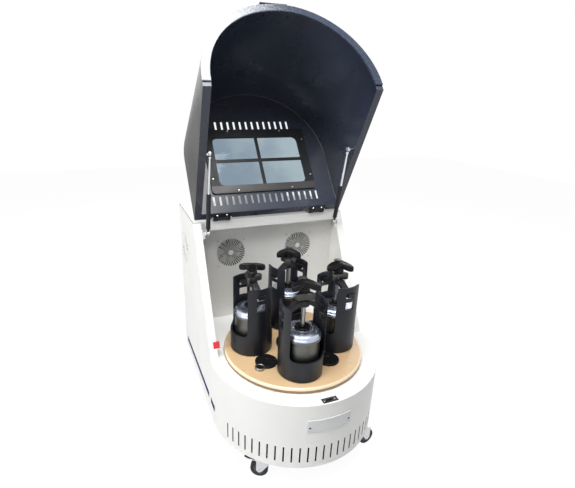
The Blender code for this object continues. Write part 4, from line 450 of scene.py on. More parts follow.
# %% Plastics, rubber and vinyl
black_mould = finish("black_moulded_plastic", (0.007, 0.007, 0.008), (0.011, 0.011, 0.012),
                     (0.14, 0.22), scale=1800, depth=2e-5, specular=0.14)
rubber = finish("black_tyre", (0.012, 0.012, 0.013), (0.02, 0.02, 0.02), (0.55, 0.7), scale=1500,
                depth=0.0001, dusty=0.08, specular=0.3)
hub_plastic = finish("dark_hub_plastic", (0.05, 0.05, 0.053), (0.035, 0.035, 0.037), (0.4, 0.5),
                     scale=1200, dusty=0.08)
red_plastic = finish("red_plastic", (0.75, 0.04, 0.06), (0.64, 0.03, 0.045), (0.3, 0.4),
                     scale=1500, depth=3e-5)
blue_vinyl = finish("blue_stripe_vinyl", (0.010, 0.013, 0.09), (0.014, 0.018, 0.11), (0.6, 0.7),
                    scale=1200, depth=2e-5, specular=0.1)
print("with plastics", len(bpy.data.materials))

# %% [markdown]
# The foam seal is one pale strip, with painted shade on it: the left half stays almost white and the right half is
# painted dark blue-grey. Two strips would show a seam, so one colour ramp over the object's own width does it, and
# coarse grain gives the cells.

# %% Foam
foam = finish("seal_foam_painted_shade", (0.62, 0.63, 0.66), (0.44, 0.46, 0.50), (0.8, 0.95), depth=0.0008,
              specular=0.2)
tree = foam.node_tree
shader = tree.nodes["Principled BSDF"]
pale = shader.inputs["Base Color"].links[0].from_socket
where = [n for n in tree.nodes if n.type == "TEX_COORD"][0].outputs["Object"]
split = add_node(tree, "SeparateXYZ", Vector=where)
# Painted shade: the seal darkens from its left side to its right.
side = ramp(tree, split.outputs["X"], low=-0.26, high=0.10)
cells = ramp(tree, noise(tree, scale=300.0, detail=2.0, vector=where), 0.35, 0.65, -0.2, 0.2)
foam_painted_shade = ramp(tree, reckon(tree, "ADD", side, cells), low=0, high=1)
dial(tree, shader, Base_Color=mix_colour(tree, foam_painted_shade, pale, (0.035, 0.045, 0.075)))
print("foam with", len(tree.nodes), "nodes")

# %% [markdown]
# The window is a clear sheet. Light passes through it, and the white studio behind makes it look pale against the
# dark hood, as in the picture. Its tint is painted darker at the left and paler at the right, as painted shade
# across the pane. The plain colour below is for a viewer that can't follow the nodes.

# %% Window glass
WINDOW_COLOUR = (0.34, 0.43, 0.50, 1)
glass = bpy.data.materials.new("window_glass")
glass.use_nodes = True
tree = glass.node_tree
where = add_node(tree, "TexCoord").outputs["Object"]
haze = place_group(tree, grain, where, Scale=500.0).outputs["Patch"]
split = add_node(tree, "SeparateXYZ", Vector=where)
# Painted shade: the tint darkens towards the pane's left side.
pane_painted_shade = reckon(tree, "ADD", ramp(tree, split.outputs["X"], low=-0.25, high=0.25),
               ramp(tree, haze, 0, 1, -0.25, 0.25))
tint = mix_colour(tree, ramp(tree, pane_painted_shade, low=0, high=1), (0.24, 0.31, 0.38), (0.40, 0.49, 0.54))
shader = dial(tree, tree.nodes["Principled BSDF"], Base_Color=WINDOW_COLOUR, Metallic=0.0,
              Roughness=ramp(tree, haze, 0, 1, 0.04, 0.12), Transmission_Weight=1.0, IOR=1.2)
dial(tree, shader, Base_Color=tint)
print("glass with", len(tree.nodes), "nodes")

# %% [markdown]
# ## Shapes
# Every piece goes through the same last step. Its faces are smoothed, corners sharper than an
# angle stay sharp, and a small bevel catches the light, because no real edge is a knife.

# %% From bmesh to object
def show(bm, name, materials, bevel=0.0005, segments=2, angle=35):
    """Make an object of a bmesh, smooth it and round its edges."""
    mesh = bpy.data.meshes.new(name)
    bm.to_mesh(mesh)
    bm.free()
    mesh.shade_smooth()
    mesh.set_sharp_from_angle(angle=radians(angle))
    piece = bpy.data.objects.new(name, mesh)
    scene.collection.objects.link(piece)
    for material in materials:
        mesh.materials.append(material)
    if bevel:
        rounding = piece.modifiers.new("rounding", "BEVEL")
        rounding.width = bevel
        rounding.segments = segments
        rounding.limit_method = "ANGLE"
        rounding.angle_limit = radians(30)
        rounding.harden_normals = True
    return piece


# %% [markdown]
# A piece takes the place of a frame node or is a small extra on one. Both kinds ride with the
# node's body, so that they move with its joints.

# %% Pieces and small extras
def settle(piece, node):
    """The piece rides with a frame node's body and stands for it."""
    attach(piece, body_of[node])
    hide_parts(node)
    print(piece.name, "faces", len(piece.data.polygons))


def add_on(piece, node):
    """A small extra that rides with a node's body."""
    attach(piece, body_of[node])
    print("extra", piece.name, "faces", len(piece.data.polygons))


# %% [markdown]
# Many pieces of the frame already have the right shape but hard, faceted edges. They could be
# modelled again, but a copy keeps every slot and hole exactly where the frame has it. The
# copy is merged, and its flat faces are joined up, before it is finished like the others.

# %% Refined copies
MERGE_DISTANCE = 2e-6
FLAT_ANGLE = radians(0.6)


def copy_of(node):
    """A merged bmesh copy of a frame node, its flat faces joined."""
    bm = bmesh.new()
    bm.from_mesh(frame["nodes"][node].data)
    bmesh.ops.remove_doubles(bm, verts=bm.verts[:], dist=MERGE_DISTANCE)
    bmesh.ops.dissolve_limit(bm, angle_limit=FLAT_ANGLE, verts=bm.verts[:], edges=bm.edges[:],
                             delimit={"NORMAL"})
    return bm


def refine(node, materials, bevel=0.0005, segments=2, paint=None, undo=Matrix()):
    """Finish a frame node's own shape.

    paint(place, normal) gives a face's material number. The place is in millimetres from the
    axis, after undo has turned it back."""
    bm = copy_of(node)
    if paint:
        for face in bm.faces:
            place = (undo @ face.calc_center_median() - AXIS) / MM
            face.material_index = paint(place, face.normal)
    settle(show(bm, "fine_" + node, materials, bevel, segments), node)


# %% [markdown]
# ## The cabinet
# On the real machine the skirt, the sides and the deck are folded and rolled from 2.5 mm sheet and welded. One
# solid stands for the weldment, so its faces are told apart by their place: the two brackets for the struts are
# bare steel, and the walls of the slots and the hidden inside get a dark primer colour as painted shade, which
# keeps every slot black.

# %% Cabinet sheet metal
BRACKET_INNER, BRACKET_LOW, BRACKET_BACK = 266, 700, 230
SLOTS_LOW, SLOTS_HIGH = 107, 169
WALL_INSIDE, BACK_INSIDE = 297.8, 531.8
PANEL_FRONT = DRUM_INSIDE = 298
DECK_UNDERSIDE, TOP_UNDERSIDE = 328.5, 768


def shell_paint(place, normal):
    """Powder coat, or 1 on the strut brackets and 2 for the dark primer of painted shade."""
    if abs(place.x) < BRACKET_INNER and place.z > BRACKET_LOW and place.y < BRACKET_BACK:
        return 1
    outward = Vector((place.x, place.y, 0)).normalized() if place.y < 0 else Vector((-1, 0, 0))
    # Dark primer as painted shade on the slot walls, and below on the hidden inside.
    if SLOTS_LOW < place.z < SLOTS_HIGH and abs(normal.dot(outward)) < 0.5:
        return 2
    hidden = abs(place.x) < WALL_INSIDE and place.y < BACK_INSIDE
    tower = place.y > PANEL_FRONT and DECK_HEIGHT < place.z < TOP_UNDERSIDE
    drum = place.y > 0 or hypot(place.x, place.y) < DRUM_INSIDE
    return 2 if hidden and (tower or (drum and place.z < DECK_UNDERSIDE)) else 0


refine("cabinet_shell", [powder_coat, zinc, primer_painted_shade], 0.0007, paint=shell_paint)

# %% [markdown]
# The two grilles are cut straight into the panel behind the turntable. Their slots are only a few millimetres
# wide, so the bevel there is tiny, and their walls are dark primer too, as painted shade.

# %% Fan panel
GRILLE_SIDE, GRILLE_HEIGHT, GRILLE_REACH = 144, 612, 58


def panel_paint(place, normal):
    """Powder coat, or 1 for painted shade on the back and in the grilles' slots."""
    out = hypot(abs(place.x) - GRILLE_SIDE, place.z - GRILLE_HEIGHT)
    # Dark primer as painted shade in the grilles' slots and on the back.
    in_slot = out < GRILLE_REACH and abs(normal.y) < 0.5
    return 1 if normal.y > 0.9 or in_slot else 0


refine("fan_panel", [powder_coat, primer_painted_shade], 0.00015, segments=1, paint=panel_paint)

# %% [markdown]
# The cover of the tower is one folded white sheet, and a black plate closes the cabinet from
# below. Both have their full shape in the frame.

# %% Tower cover and base plate
refine("tower_cover", [powder_coat], 0.0012, segments=3)
refine("base_plate", [black_paint])

# %% [markdown]
# The thin dark blue line on the left side is a vinyl strip in two lengths. A painted line
# would need a mask. A strip a fifth of a millimetre thick is simpler and catches the light
# at its edges, so each length is drawn as one flat face and then given its thickness.

# %% Stripe on the left side
STRIPE_PARTS = ((489, 58, 128, 151), (29, -22, 153, 154))
STRIPE_HALF, STRIPE_THICKNESS, STRIPE_GAP = 12, 0.2, 0.05


def verts_of(geometry):
    """The vertices among the new geometry of an operator."""
    return [item for item in geometry if isinstance(item, bmesh.types.BMVert)]


bm = bmesh.new()
for back, front, back_z, front_z in STRIPE_PARTS:
    corners = [(back, back_z + STRIPE_HALF), (back, back_z - STRIPE_HALF),
               (front, front_z - STRIPE_HALF), (front, front_z + STRIPE_HALF)]
    verts = [bm.verts.new(at(-SHELL_RADIUS - STRIPE_GAP, y, z)) for y, z in corners]
    grown = bmesh.ops.extrude_face_region(bm, geom=[bm.faces.new(verts)])["geom"]
    bmesh.ops.translate(bm, vec=(-STRIPE_THICKNESS * MM, 0, 0), verts=verts_of(grown))
bmesh.ops.recalc_face_normals(bm, faces=bm.faces[:])
add_on(show(bm, "side_stripe", [blue_vinyl], 0), "cabinet_shell")

# %% [markdown]
# The plate on the drum is bare: a curved sheet with a raised lip along its top edge and a
# dark screw near each end. The screws stand further out than the sheet, so their distance
# from the axis tells them apart. The lip is a small circle spun round the same axis.

# %% Label plate
PLATE_FACE = 303.4
LIP_RADIUS, LIP_REACH, LIP_HEIGHT = 1.7, 301.6, 276
LIP_HALF_ANGLE = 14.2


def plate_paint(place, normal):
    """The plate's coat, or 1 on its screws."""
    return 1 if hypot(place.x, place.y) > PLATE_FACE else 0


def small_circle(bm, radius, segments, place):
    """A circle round the Y direction at a place, the start of a drawn tube."""
    ring = bmesh.ops.create_circle(bm, cap_ends=False, segments=segments, radius=radius * MM)
    bmesh.ops.rotate(bm, verts=ring["verts"], cent=(0, 0, 0),
                     matrix=Matrix.Rotation(pi / 2, 3, "X"))
    bmesh.ops.translate(bm, vec=Vector(place) * MM, verts=ring["verts"])
    return ring["verts"]


def close_ends(bm):
    """Close the open ends of a drawn tube and turn its faces outwards."""
    bmesh.ops.holes_fill(bm, edges=[e for e in bm.edges if e.is_boundary])
    bmesh.ops.recalc_face_normals(bm, faces=bm.faces[:])


refine("label_plate", [label_coat, gun_metal], 0.0006, paint=plate_paint)
bm = bmesh.new()
lip = small_circle(bm, LIP_RADIUS, 12, (LIP_REACH, 0, LIP_HEIGHT))
bmesh.ops.rotate(bm, verts=lip, cent=(0, 0, 0),
                 matrix=Matrix.Rotation(radians(-90 - LIP_HALF_ANGLE), 3, "Z"))
bmesh.ops.spin(bm, geom=lip + bm.edges[:], cent=(0, 0, 0), axis=(0, 0, 1),
               angle=radians(2 * LIP_HALF_ANGLE), steps=24)
close_ends(bm)
bmesh.ops.translate(bm, vec=AXIS, verts=bm.verts[:])
add_on(show(bm, "label_plate_lip", [label_coat], 0), "label_plate")

# %% [markdown]
# The lock strike is let into the deck. Its frame is black, the slot in the middle is grey, and
# a bright screw holds each end. A screw is a cone cut short whose top is inset and sunk, and
# the same helper makes the screws of the hinges.

# %% Lock strike
STRIKE_BACK = -284
SLOT_HALF_X, SLOT_HALF_Y = 9.5, 4.5
STRIKE_SCREW_X, STRIKE_SCREW_HEIGHT = 18, 330.55


def strike_paint(place, normal):
    """Black, or 1 inside the slot."""
    return 1 if abs(place.x) < SLOT_HALF_X and abs(place.y - STRIKE_BACK) < SLOT_HALF_Y else 0


def screw_shape(bm, matrix, radius, height):
    """A pan head with a round recess, carried to its place by the matrix."""
    made = bmesh.ops.create_cone(bm, cap_ends=True, segments=24, radius1=radius * MM,
                                 radius2=radius * 0.8 * MM, depth=height * MM)["verts"]
    bmesh.ops.translate(bm, vec=(0, 0, height * MM / 2), verts=made)
    top = [f for f in {f for v in made for f in v.link_faces} if f.normal.z > 0.9 or
           f.calc_center_median().z > height * MM * 0.95]
    inner = bmesh.ops.inset_region(bm, faces=top, thickness=radius * 0.35 * MM)["faces"]
    bmesh.ops.translate(bm, vec=(0, 0, -height * 0.35 * MM),
                        verts=list({v for f in top for v in f.verts}))
    around = {v for f in inner + top for v in f.verts} | set(made)
    bmesh.ops.transform(bm, matrix=matrix, verts=list(around))


refine("latch_strike", [black_paint, gun_metal], 0.0004, paint=strike_paint)
bm = bmesh.new()
for side in (-1, 1):
    place = Matrix.Translation(at(side * STRIKE_SCREW_X, STRIKE_BACK, STRIKE_SCREW_HEIGHT))
    screw_shape(bm, place, radius=4, height=0.9)
add_on(show(bm, "strike_screws", [chrome], 0.0002), "latch_strike")

# %% [markdown]
# A small red plastic block on the left cheek senses that the hood is shut. Its shape is
# right in the frame, and a wide bevel gives it the round edges of a moulding.

# %% Safety sensor
refine("lid_sensor", [red_plastic], 0.0012, segments=3)

# %% [markdown]
# ## The hood
# The hood is one domed guard. Outside it is a grey coat, painted darker as painted shade, and inside it is a dark
# navy. To tell the two apart, each face is turned back to the shut position, where the outside is simply what lies
# furthest from the drum's axis or on the top plate. The pins for the struts and the heads of the hinge screws are
# bright metal.

# %% Hood
STRUT_HEAD = Vector((0, 104.2, 547.5))
STUD_REACH, STUD_INNER = 13, 291.2
LEAF_SIDE, LEAF_SCREW_HALF = 193, 18
SCREW_BACK, SCREW_HEIGHT = 233, 758.1
HOOD_SKIN, TOP_SKIN = 293.2, 770.6


def hood_paint(place, normal):
    """Grey with painted shade outside, 1 inside, or 2 on the strut pins and hinge screws."""
    radius = hypot(place.x, place.y) if place.y < 0 else abs(place.x)
    stud = hypot(place.y - STRUT_HEAD.y, place.z - STRUT_HEAD.z) < STUD_REACH
    if stud and abs(place.x) < STUD_INNER:
        return 2
    across = abs(abs(abs(place.x) - LEAF_SIDE) - LEAF_SCREW_HALF)
    if across < 3.8 and hypot(place.y - SCREW_BACK, place.z - SCREW_HEIGHT) < 4.2:
        return 2
    return 0 if radius > HOOD_SKIN or place.z > TOP_SKIN else 1


refine("hood_shell", [hood_outside_painted_shade, hood_inside, chrome], 0.0006, paint=hood_paint, undo=UNTURN)

# %% [markdown]
# Where the top plate meets the round wall runs a sealed weld. It shows as a pale line that
# follows the arc. A small circle is drawn forwards along one side, spun round the drum's axis
# and drawn back along the other side, all on the shut hood, and then swung up with it.

# %% Weld line
BEAD_RADIUS, BEAD_REACH, BEAD_HEIGHT, BEAD_SIDE = 1.6, 290.4, 767.6, 200


def edges_between(geometry, verts):
    """The edges of new geometry that run between these vertices."""
    return [item for item in geometry if isinstance(item, bmesh.types.BMEdge)
            and all(v in verts for v in item.verts)]


bm = bmesh.new()
small_circle(bm, BEAD_RADIUS, 8, (BEAD_REACH, BEAD_SIDE, BEAD_HEIGHT))
drawn = bmesh.ops.extrude_edge_only(bm, edges=bm.edges[:])["geom"]
moved = verts_of(drawn)
bmesh.ops.translate(bm, vec=(0, -BEAD_SIDE * MM, 0), verts=moved)
spun = bmesh.ops.spin(bm, geom=moved + edges_between(drawn, moved), cent=(0, 0, 0),
                      axis=(0, 0, 1), angle=-pi, steps=64)["geom_last"]
last = [item for item in spun if isinstance(item, bmesh.types.BMEdge)]
drawn = bmesh.ops.extrude_edge_only(bm, edges=last)["geom"]
bmesh.ops.translate(bm, vec=(0, BEAD_SIDE * MM, 0), verts=verts_of(drawn))
close_ends(bm)
bmesh.ops.transform(bm, matrix=HOOD_TURN @ Matrix.Translation(AXIS), verts=bm.verts[:])
add_on(show(bm, "hood_weld_line", [weld_bead], 0), "hood_shell")

# %% [markdown]
# The foam strip, the handle and the two hinges have their full shape in the frame, so they
# only need their finishes and soft edges. The handle is a moulding with the widest ones.

# %% Foam seal, handle and hinges
refine("hood_gasket", [foam], 0.0012)
refine("hood_handle", [black_mould], 0.0016, segments=3)
for side in ("left", "right"):
    refine("hood_hinge_leaf_" + side, [black_paint], 0.0004)
    refine("tower_hinge_leaf_" + side, [black_paint], 0.0004)

# %% [markdown]
# Two bright screws hold each hinge leaf to the hood. They are placed on the shut hood, where
# the leaf lies along the slope of the cabinet's sides, and then swung up with it.

# %% Hinge screws
SLOPE_FOOT, LEAF_SCREW_DOWN, LEAF_FACE = 14, 16, 1.7


def facing(place, direction):
    """The matrix that takes +Z to a direction at a place."""
    turn = Vector((0, 0, 1)).rotation_difference(Vector(direction)).to_matrix().to_4x4()
    return Matrix.Translation(place) @ turn


slope = Vector((0, HINGE_BACK - SLOPE_FOOT, HINGE_HEIGHT - DECK_HEIGHT)).normalized()
outward = Vector((0, slope.z, -slope.y))
bm = bmesh.new()
for side in (-LEAF_SIDE, LEAF_SIDE):
    for along in (-LEAF_SCREW_HALF, LEAF_SCREW_HALF):
        hinge = Vector((side + along, HINGE_BACK, HINGE_HEIGHT))
        head = AXIS + (hinge - slope * LEAF_SCREW_DOWN + outward * LEAF_FACE) * MM
        screw_shape(bm, HOOD_TURN @ facing(head, outward), radius=3.6, height=1.6)
add_on(show(bm, "hood_hinge_screws", [chrome], 0.0002), "hood_hinge_leaf_left")

# %% [markdown]
# The window sits in a raised frame with a cross of two bars. Its near side catches the light, so the strip there
# is painted in gun metal as a painted reflection. The frame is one flat face there, so it is first cut along the
# window's near edge, and the strip beyond the cut gets the gun metal. The screw heads stand proud of the frame, so
# their height tells them apart.

# %% Window frame
NEAR_EDGE = at(0, HINGE_BACK - 125, HINGE_HEIGHT)
FRAME_FACE = 760.9
bm = copy_of("window_frame")
bmesh.ops.bisect_plane(bm, geom=bm.verts[:] + bm.edges[:] + bm.faces[:], dist=1e-6,
                       plane_co=HOOD_TURN @ NEAR_EDGE,
                       plane_no=HOOD_TURN.to_3x3() @ Vector((0, 1, 0)))
for face in bm.faces:
    centre = UNTURN @ face.calc_center_median()
    # Painted reflection: the near strip of the black frame is coloured gun metal.
    near_painted_reflection = 1 if centre.y > NEAR_EDGE.y else 0
    face.material_index = 2 if centre.z < FRAME_FACE * MM else near_painted_reflection
settle(show(bm, "window_frame_plate", [black_paint, gun_metal, zinc], 0.0008), "window_frame")
refine("window_pane", [glass], 0.0004)

# %% [markdown]
# ## Gas struts
# Each strut is a black tube and a chrome rod, with an eye at its foot and a ball socket at its
# head. They are round, so each is a profile turned as on a lathe. A profile gives steps and
# grooves that a plain cylinder would need many cuts for.

# %% Lathe
def spin_profile(bm, profile, steps):
    """Turn a profile of (radius, height) in millimetres about Z, and close its seam."""
    verts = [bm.verts.new((radius * MM, 0, height * MM)) for radius, height in profile]
    edges = [bm.edges.new(pair) for pair in zip(verts, verts[1:])]
    bmesh.ops.spin(bm, geom=verts + edges, cent=(0, 0, 0), axis=(0, 0, 1), angle=2 * pi,
                   steps=steps, use_merge=True)
    bmesh.ops.remove_doubles(bm, verts=bm.verts[:], dist=1e-7)
    bmesh.ops.recalc_face_normals(bm, faces=bm.faces[:])


def turned(name, profile, materials, matrix, steps=96, bevel=0.0005, paint=None):
    """A lathe-turned piece; paint gets a face's place in millimetres, before the matrix."""
    bm = bmesh.new()
    spin_profile(bm, profile, steps)
    if paint:
        for face in bm.faces:
            face.material_index = paint(face.calc_center_median() / MM)
    bmesh.ops.transform(bm, matrix=matrix, verts=bm.verts[:])
    return show(bm, name, materials, bevel)


# %% [markdown]
# The line of a strut runs from the pin behind the cheek to the ball on the open hood. Its
# length is measured between them, so that the rod always reaches the ball.

# %% Struts
STRUT_SIDE, FOOT_BACK, FOOT_HEIGHT = 254, 205, 732
line = HOOD_TURN @ at(*STRUT_HEAD) - at(0, FOOT_BACK, FOOT_HEIGHT)
line.x = 0
strut_length = line.length / MM
TUBE_PROFILE = [(0, 8.6), (4.2, 8.6), (4.2, 15), (6.2, 17), (8, 18.5), (8, 146), (7.2, 148.5),
                (7.2, 150), (4.5, 150), (4.5, 40), (0, 40)]
ROD_PROFILE = [(0, 130), (4, 130), (4, strut_length - 17), (6.2, strut_length - 16),
               (6.2, strut_length - 8.6), (0, strut_length - 8.6)]
EYE_PROFILE = [(4.3, -4), (8.6, -4), (8.6, 4), (4.3, 4), (4.3, -4)]
SOCKET_PROFILE = [(0, -4), (8.6, -4), (8.6, 4), (0, 4)]
for side, sign in (("left", -1), ("right", 1)):
    foot = at(sign * STRUT_SIDE, FOOT_BACK, FOOT_HEIGHT)
    along = facing(foot, line)
    settle(turned("strut_tube_" + side, TUBE_PROFILE, [black_paint], along, 32),
           "strut_cylinder_" + side)
    add_on(turned("strut_eye_" + side, EYE_PROFILE, [zinc], facing(foot, (1, 0, 0)), 32),
           "strut_cylinder_" + side)
    settle(turned("strut_piston_rod_" + side, ROD_PROFILE, [chrome], along, 32),
           "strut_rod_" + side)
    add_on(turned("strut_ball_socket_" + side, SOCKET_PROFILE, [zinc],
                  facing(foot + line, (1, 0, 0)), 32, bevel=0.001), "strut_rod_" + side)
print("strut length", round(strut_length, 1), "mm")

# %% [markdown]
# ## Turntable
# The disc is a thick plate with a rounded rim and a tan coating. The rim carries a painted highlight, and the band
# below it painted shade. It is turned like the struts, with a point every few degrees of the rim's curve, and each
# ring of faces gets its coat by its distance and height. The cap in the middle is black plastic.

# %% Disc
RIM_START, RIM_FOOT, UNDERSIDE = 242, -9, -17.5
disc_place = Matrix.Translation(AXIS + Vector((0, 0, DISC_TOP)))
DISC_PROFILE = [(0, 0), (239.6, 0), (242.4, -0.5), (244.9, -1.8), (246.7, -3.7), (247.7, -6.2),
                (248, -8.6), (248, -15), (247.1, -17.4), (244.2, -19), (55, -19), (55, -29),
                (20, -29), (20, -120), (0, -120)]
CAP_PROFILE = [(0, 0.3), (58, 0.3), (58, 7.5), (55.5, 10), (30, 10.4), (0, 10.6)]


def disc_painted_light(place):
    """Tan on the flats, 1 for the painted highlight on the rounded rim and 2 for the painted shade on its lower
    edge.
    """
    if hypot(place.x, place.y) < RIM_START or place.z < UNDERSIDE:
        return 0
    return 1 if place.z > RIM_FOOT else 2


settle(turned("tan_disc", DISC_PROFILE, [tan_coat, disc_rim_painted_highlight, disc_edge_painted_shade], disc_place, 144, bevel=0,
              paint=disc_painted_light), "turntable_disc")
settle(turned("centre_cap", CAP_PROFILE, [black_mould], disc_place, 64, bevel=0.0004), "hub_cap")

# %% [markdown]
# Four low black covers lie between the holders, and one small steel plug near the front has a
# dark middle. They are part of the disc in the frame, and thin turned caps over them give
# them their own finish and a rounded edge.

# %% Covers between the holders
PLANET_PHASE = -104.5
COVER_REACH = 150
COVER_PROFILE = [(0, 0.05), (38, 0.05), (38, 4.8), (35.7, 7), (12, 7), (10.5, 5.6), (0, 5.6)]
PLUG_TURN, PLUG_REACH, PLUG_MIDDLE = -147.6, 192, 11.4
PLUG_PROFILE = [(0, 0.05), (16.4, 0.05), (16.4, 8.2), (15.2, 9.4), (12, 9.4), (11, 8), (0, 8)]


def on_disc(degrees, reach):
    """A place on top of the disc, at an angle and a distance from its middle."""
    turn = radians(degrees)
    return disc_place @ Matrix.Translation(Vector((cos(turn), sin(turn), 0)) * reach * MM)


for number in range(4):
    cover = turned("disc_cover_" + str(number + 1), COVER_PROFILE, [black_mould],
                   on_disc(PLANET_PHASE + 45 + 90 * number, COVER_REACH), 48)
    add_on(cover, "turntable_disc")
plug = turned("disc_plug", PLUG_PROFILE, [spindle_steel, black_mould],
              on_disc(PLUG_TURN, PLUG_REACH), 48,
              paint=lambda place: 1 if hypot(place.x, place.y) < PLUG_MIDDLE else 0)
add_on(plug, "turntable_disc")

# %% [markdown]
# ## Jar holders
# A holder is a thick cup with two tall uprights. It could be built from curved plates, but
# the real one is a cut tube. So it is turned as one tube, its sides are cut away with a shape
# that has round lower corners, and two windows go through each upright.

# %% Cutting helpers
def block(bm, low, high):
    """A box between two corners, in millimetres."""
    made = bmesh.ops.create_cube(bm, size=1)["verts"]
    bmesh.ops.scale(bm, vec=(Vector(high) - Vector(low)) * MM, verts=made)
    bmesh.ops.translate(bm, vec=(Vector(low) + Vector(high)) / 2 * MM, verts=made)
    return made


def cut(piece, tool):
    """Cut one object out of another for good, and drop the tool."""
    modifier = piece.modifiers.new("cut", "BOOLEAN")
    modifier.object = tool
    modifier.solver = "EXACT"
    bpy.context.view_layer.update()
    shaped = bpy.data.meshes.new_from_object(
        piece.evaluated_get(bpy.context.evaluated_depsgraph_get()))
    piece.modifiers.clear()
    piece.data = shaped
    bpy.data.objects.remove(tool)


# %% Jar holder
HOLDER_PROFILE = [(0, 8), (66.5, 8), (68.5, 10), (68.5, 252), (74.5, 252), (74.5, 2.3),
                  (72.5, 0.3), (12, 0.3), (12, -30.5), (40, -30.5), (40, -60.5), (0, -60.5)]
CUP_TOP, OPENING_HALF, CORNER_RADIUS = 72, 60, 18
WINDOWS = ((210, 231), (171, 199))
WINDOW_HALF, WINDOW_CORNER = 16, 2


def round_corners(bm, edges, radius, segments):
    """Bevel the corners of a cutter."""
    bmesh.ops.bevel(bm, geom=edges, offset=radius * MM, segments=segments, profile=0.5,
                    affect="EDGES", material=-1)


def side_cutter():
    """A slab with round lower corners that opens the cup's two sides."""
    bm = bmesh.new()
    block(bm, (-OPENING_HALF, -90, CUP_TOP), (OPENING_HALF, 90, 270))
    low = [e for e in bm.edges if all(abs(v.co.z - CUP_TOP * MM) < 1e-6 for v in e.verts)
           and abs(e.verts[0].co.x - e.verts[1].co.x) < 1e-6]
    round_corners(bm, low, CORNER_RADIUS, 8)
    return show(bm, "side_cutter", [black_paint], 0)


def window_cutter():
    """Bars through both windows of both uprights."""
    bm = bmesh.new()
    for low, high in WINDOWS:
        made = block(bm, (-90, -WINDOW_HALF, low), (90, WINDOW_HALF, high))
        long_edges = [e for e in {e for v in made for e in v.link_edges}
                      if abs(e.verts[0].co.x - e.verts[1].co.x) > 0.1]
        round_corners(bm, long_edges, WINDOW_CORNER, 3)
    return show(bm, "window_cutter", [black_paint], 0)


bm = bmesh.new()
spin_profile(bm, HOLDER_PROFILE, 96)
holder_master = show(bm, "holder_master", [black_paint], 0)
cut(holder_master, side_cutter())
cut(holder_master, window_cutter())
print("holder faces", len(holder_master.data.polygons))

# %% [markdown]
# ## Jars and lids
# The pots are thick-walled stainless steel. A jar has a flange ring at its mouth, and the lid
# sits on it with a rim, a broad sloping crown and a groove round the clamp's foot. All are
# lathe work on the real machine, so they are profiles here too.

# %% Jar and lid profiles
JAR_PROFILE = [(0, 8.3), (55.5, 8.3), (57.9, 9), (59, 11), (59, 60), (59, 129), (60.4, 131.2),
               (63, 132.2), (63, 137.2), (62.3, 138), (53, 138), (53, 20.3), (47, 14.3), (0, 14.3)]
LID_PROFILE = [(0, 138.3), (60.6, 138.3), (61.2, 139), (61.2, 143.4), (60.5, 144.2),
               (58.4, 144.5), (57.4, 145.8), (57.2, 149.4), (55.4, 152.4), (51.5, 154.6),
               (41, 157.4), (36, 158.1), (33, 157.3), (29, 157.3), (27.5, 158.3), (0, 158.3)]
SPINDLE_PROFILE = [(0, 165), (7.6, 165), (7.6, 230), (7.6, 296), (0, 296)]
FOOT_PROFILE = [(0, 158.6), (23.6, 158.6), (25, 160), (25, 163.6), (23.6, 165.4), (20.4, 166.2),
                (18.4, 164.8), (17, 162.8), (12, 162.8), (12, 168.6), (9.4, 170.4), (0, 170.4)]
print("jar", JAR_PROFILE[9][1] - JAR_PROFILE[0][1], "mm high")

# %% [markdown]
# ## Clamp screws
# The star knob and the lock nut have three round lobes. A circle is drawn up ring by ring:
# each new ring is extruded from the last and laid on a lobed outline, drawn in by an inset
# and then by a share. 4x^3 - 3x is the cosine of three times the angle, which gives the three
# lobes, and the power makes them narrow. The knob's arms droop towards their tips.

# %% Lobed grips
LOBE_NARROWNESS = 1.9


def lobed_grip(name, materials, matrix, turn, lobe, waist, low, rings, hub=None, droop=0.0):
    """A three-lobed grip; rings are (inset, share, height) from the underside to the top."""
    bm = bmesh.new()
    ring = bmesh.ops.create_circle(bm, cap_ends=False, segments=72, radius=1)["verts"]
    edges = bm.edges[:]
    for number, (inset, share, height) in enumerate(rings):
        if number:
            grown = bmesh.ops.extrude_edge_only(bm, edges=edges)["geom"]
            ring = verts_of(grown)
            edges = edges_between(grown, ring)
        for vert in ring:
            flat = Vector((vert.co.x, vert.co.y, 0)).normalized()
            swell = max(0.0, 0.5 + 0.5 * (4 * flat.x ** 3 - 3 * flat.x)) ** LOBE_NARROWNESS
            radius = (waist + (lobe - waist) * swell - inset) * share
            vert.co = (flat * radius + Vector((0, 0, low + height - droop * swell * share))) * MM
    bmesh.ops.holes_fill(bm, edges=[e for e in bm.edges if e.is_boundary])
    if hub:
        radius, base, top = hub
        made = bmesh.ops.create_cone(bm, cap_ends=True, segments=48, radius1=radius * MM,
                                     radius2=radius * MM, depth=(top - base) * MM)["verts"]
        bmesh.ops.translate(bm, vec=(0, 0, (top + base) / 2 * MM), verts=made)
    bmesh.ops.recalc_face_normals(bm, faces=bm.faces[:])
    bmesh.ops.transform(bm, matrix=matrix @ Matrix.Rotation(radians(turn), 4, "Z"),
                        verts=bm.verts[:])
    return show(bm, name, materials, 0.0004, angle=50)


# %% [markdown]
# Each clamp was last tightened by hand, so no two knobs and nuts stand alike. The turns and
# rises below are those of the four clamps in the photograph, counted from the front one.

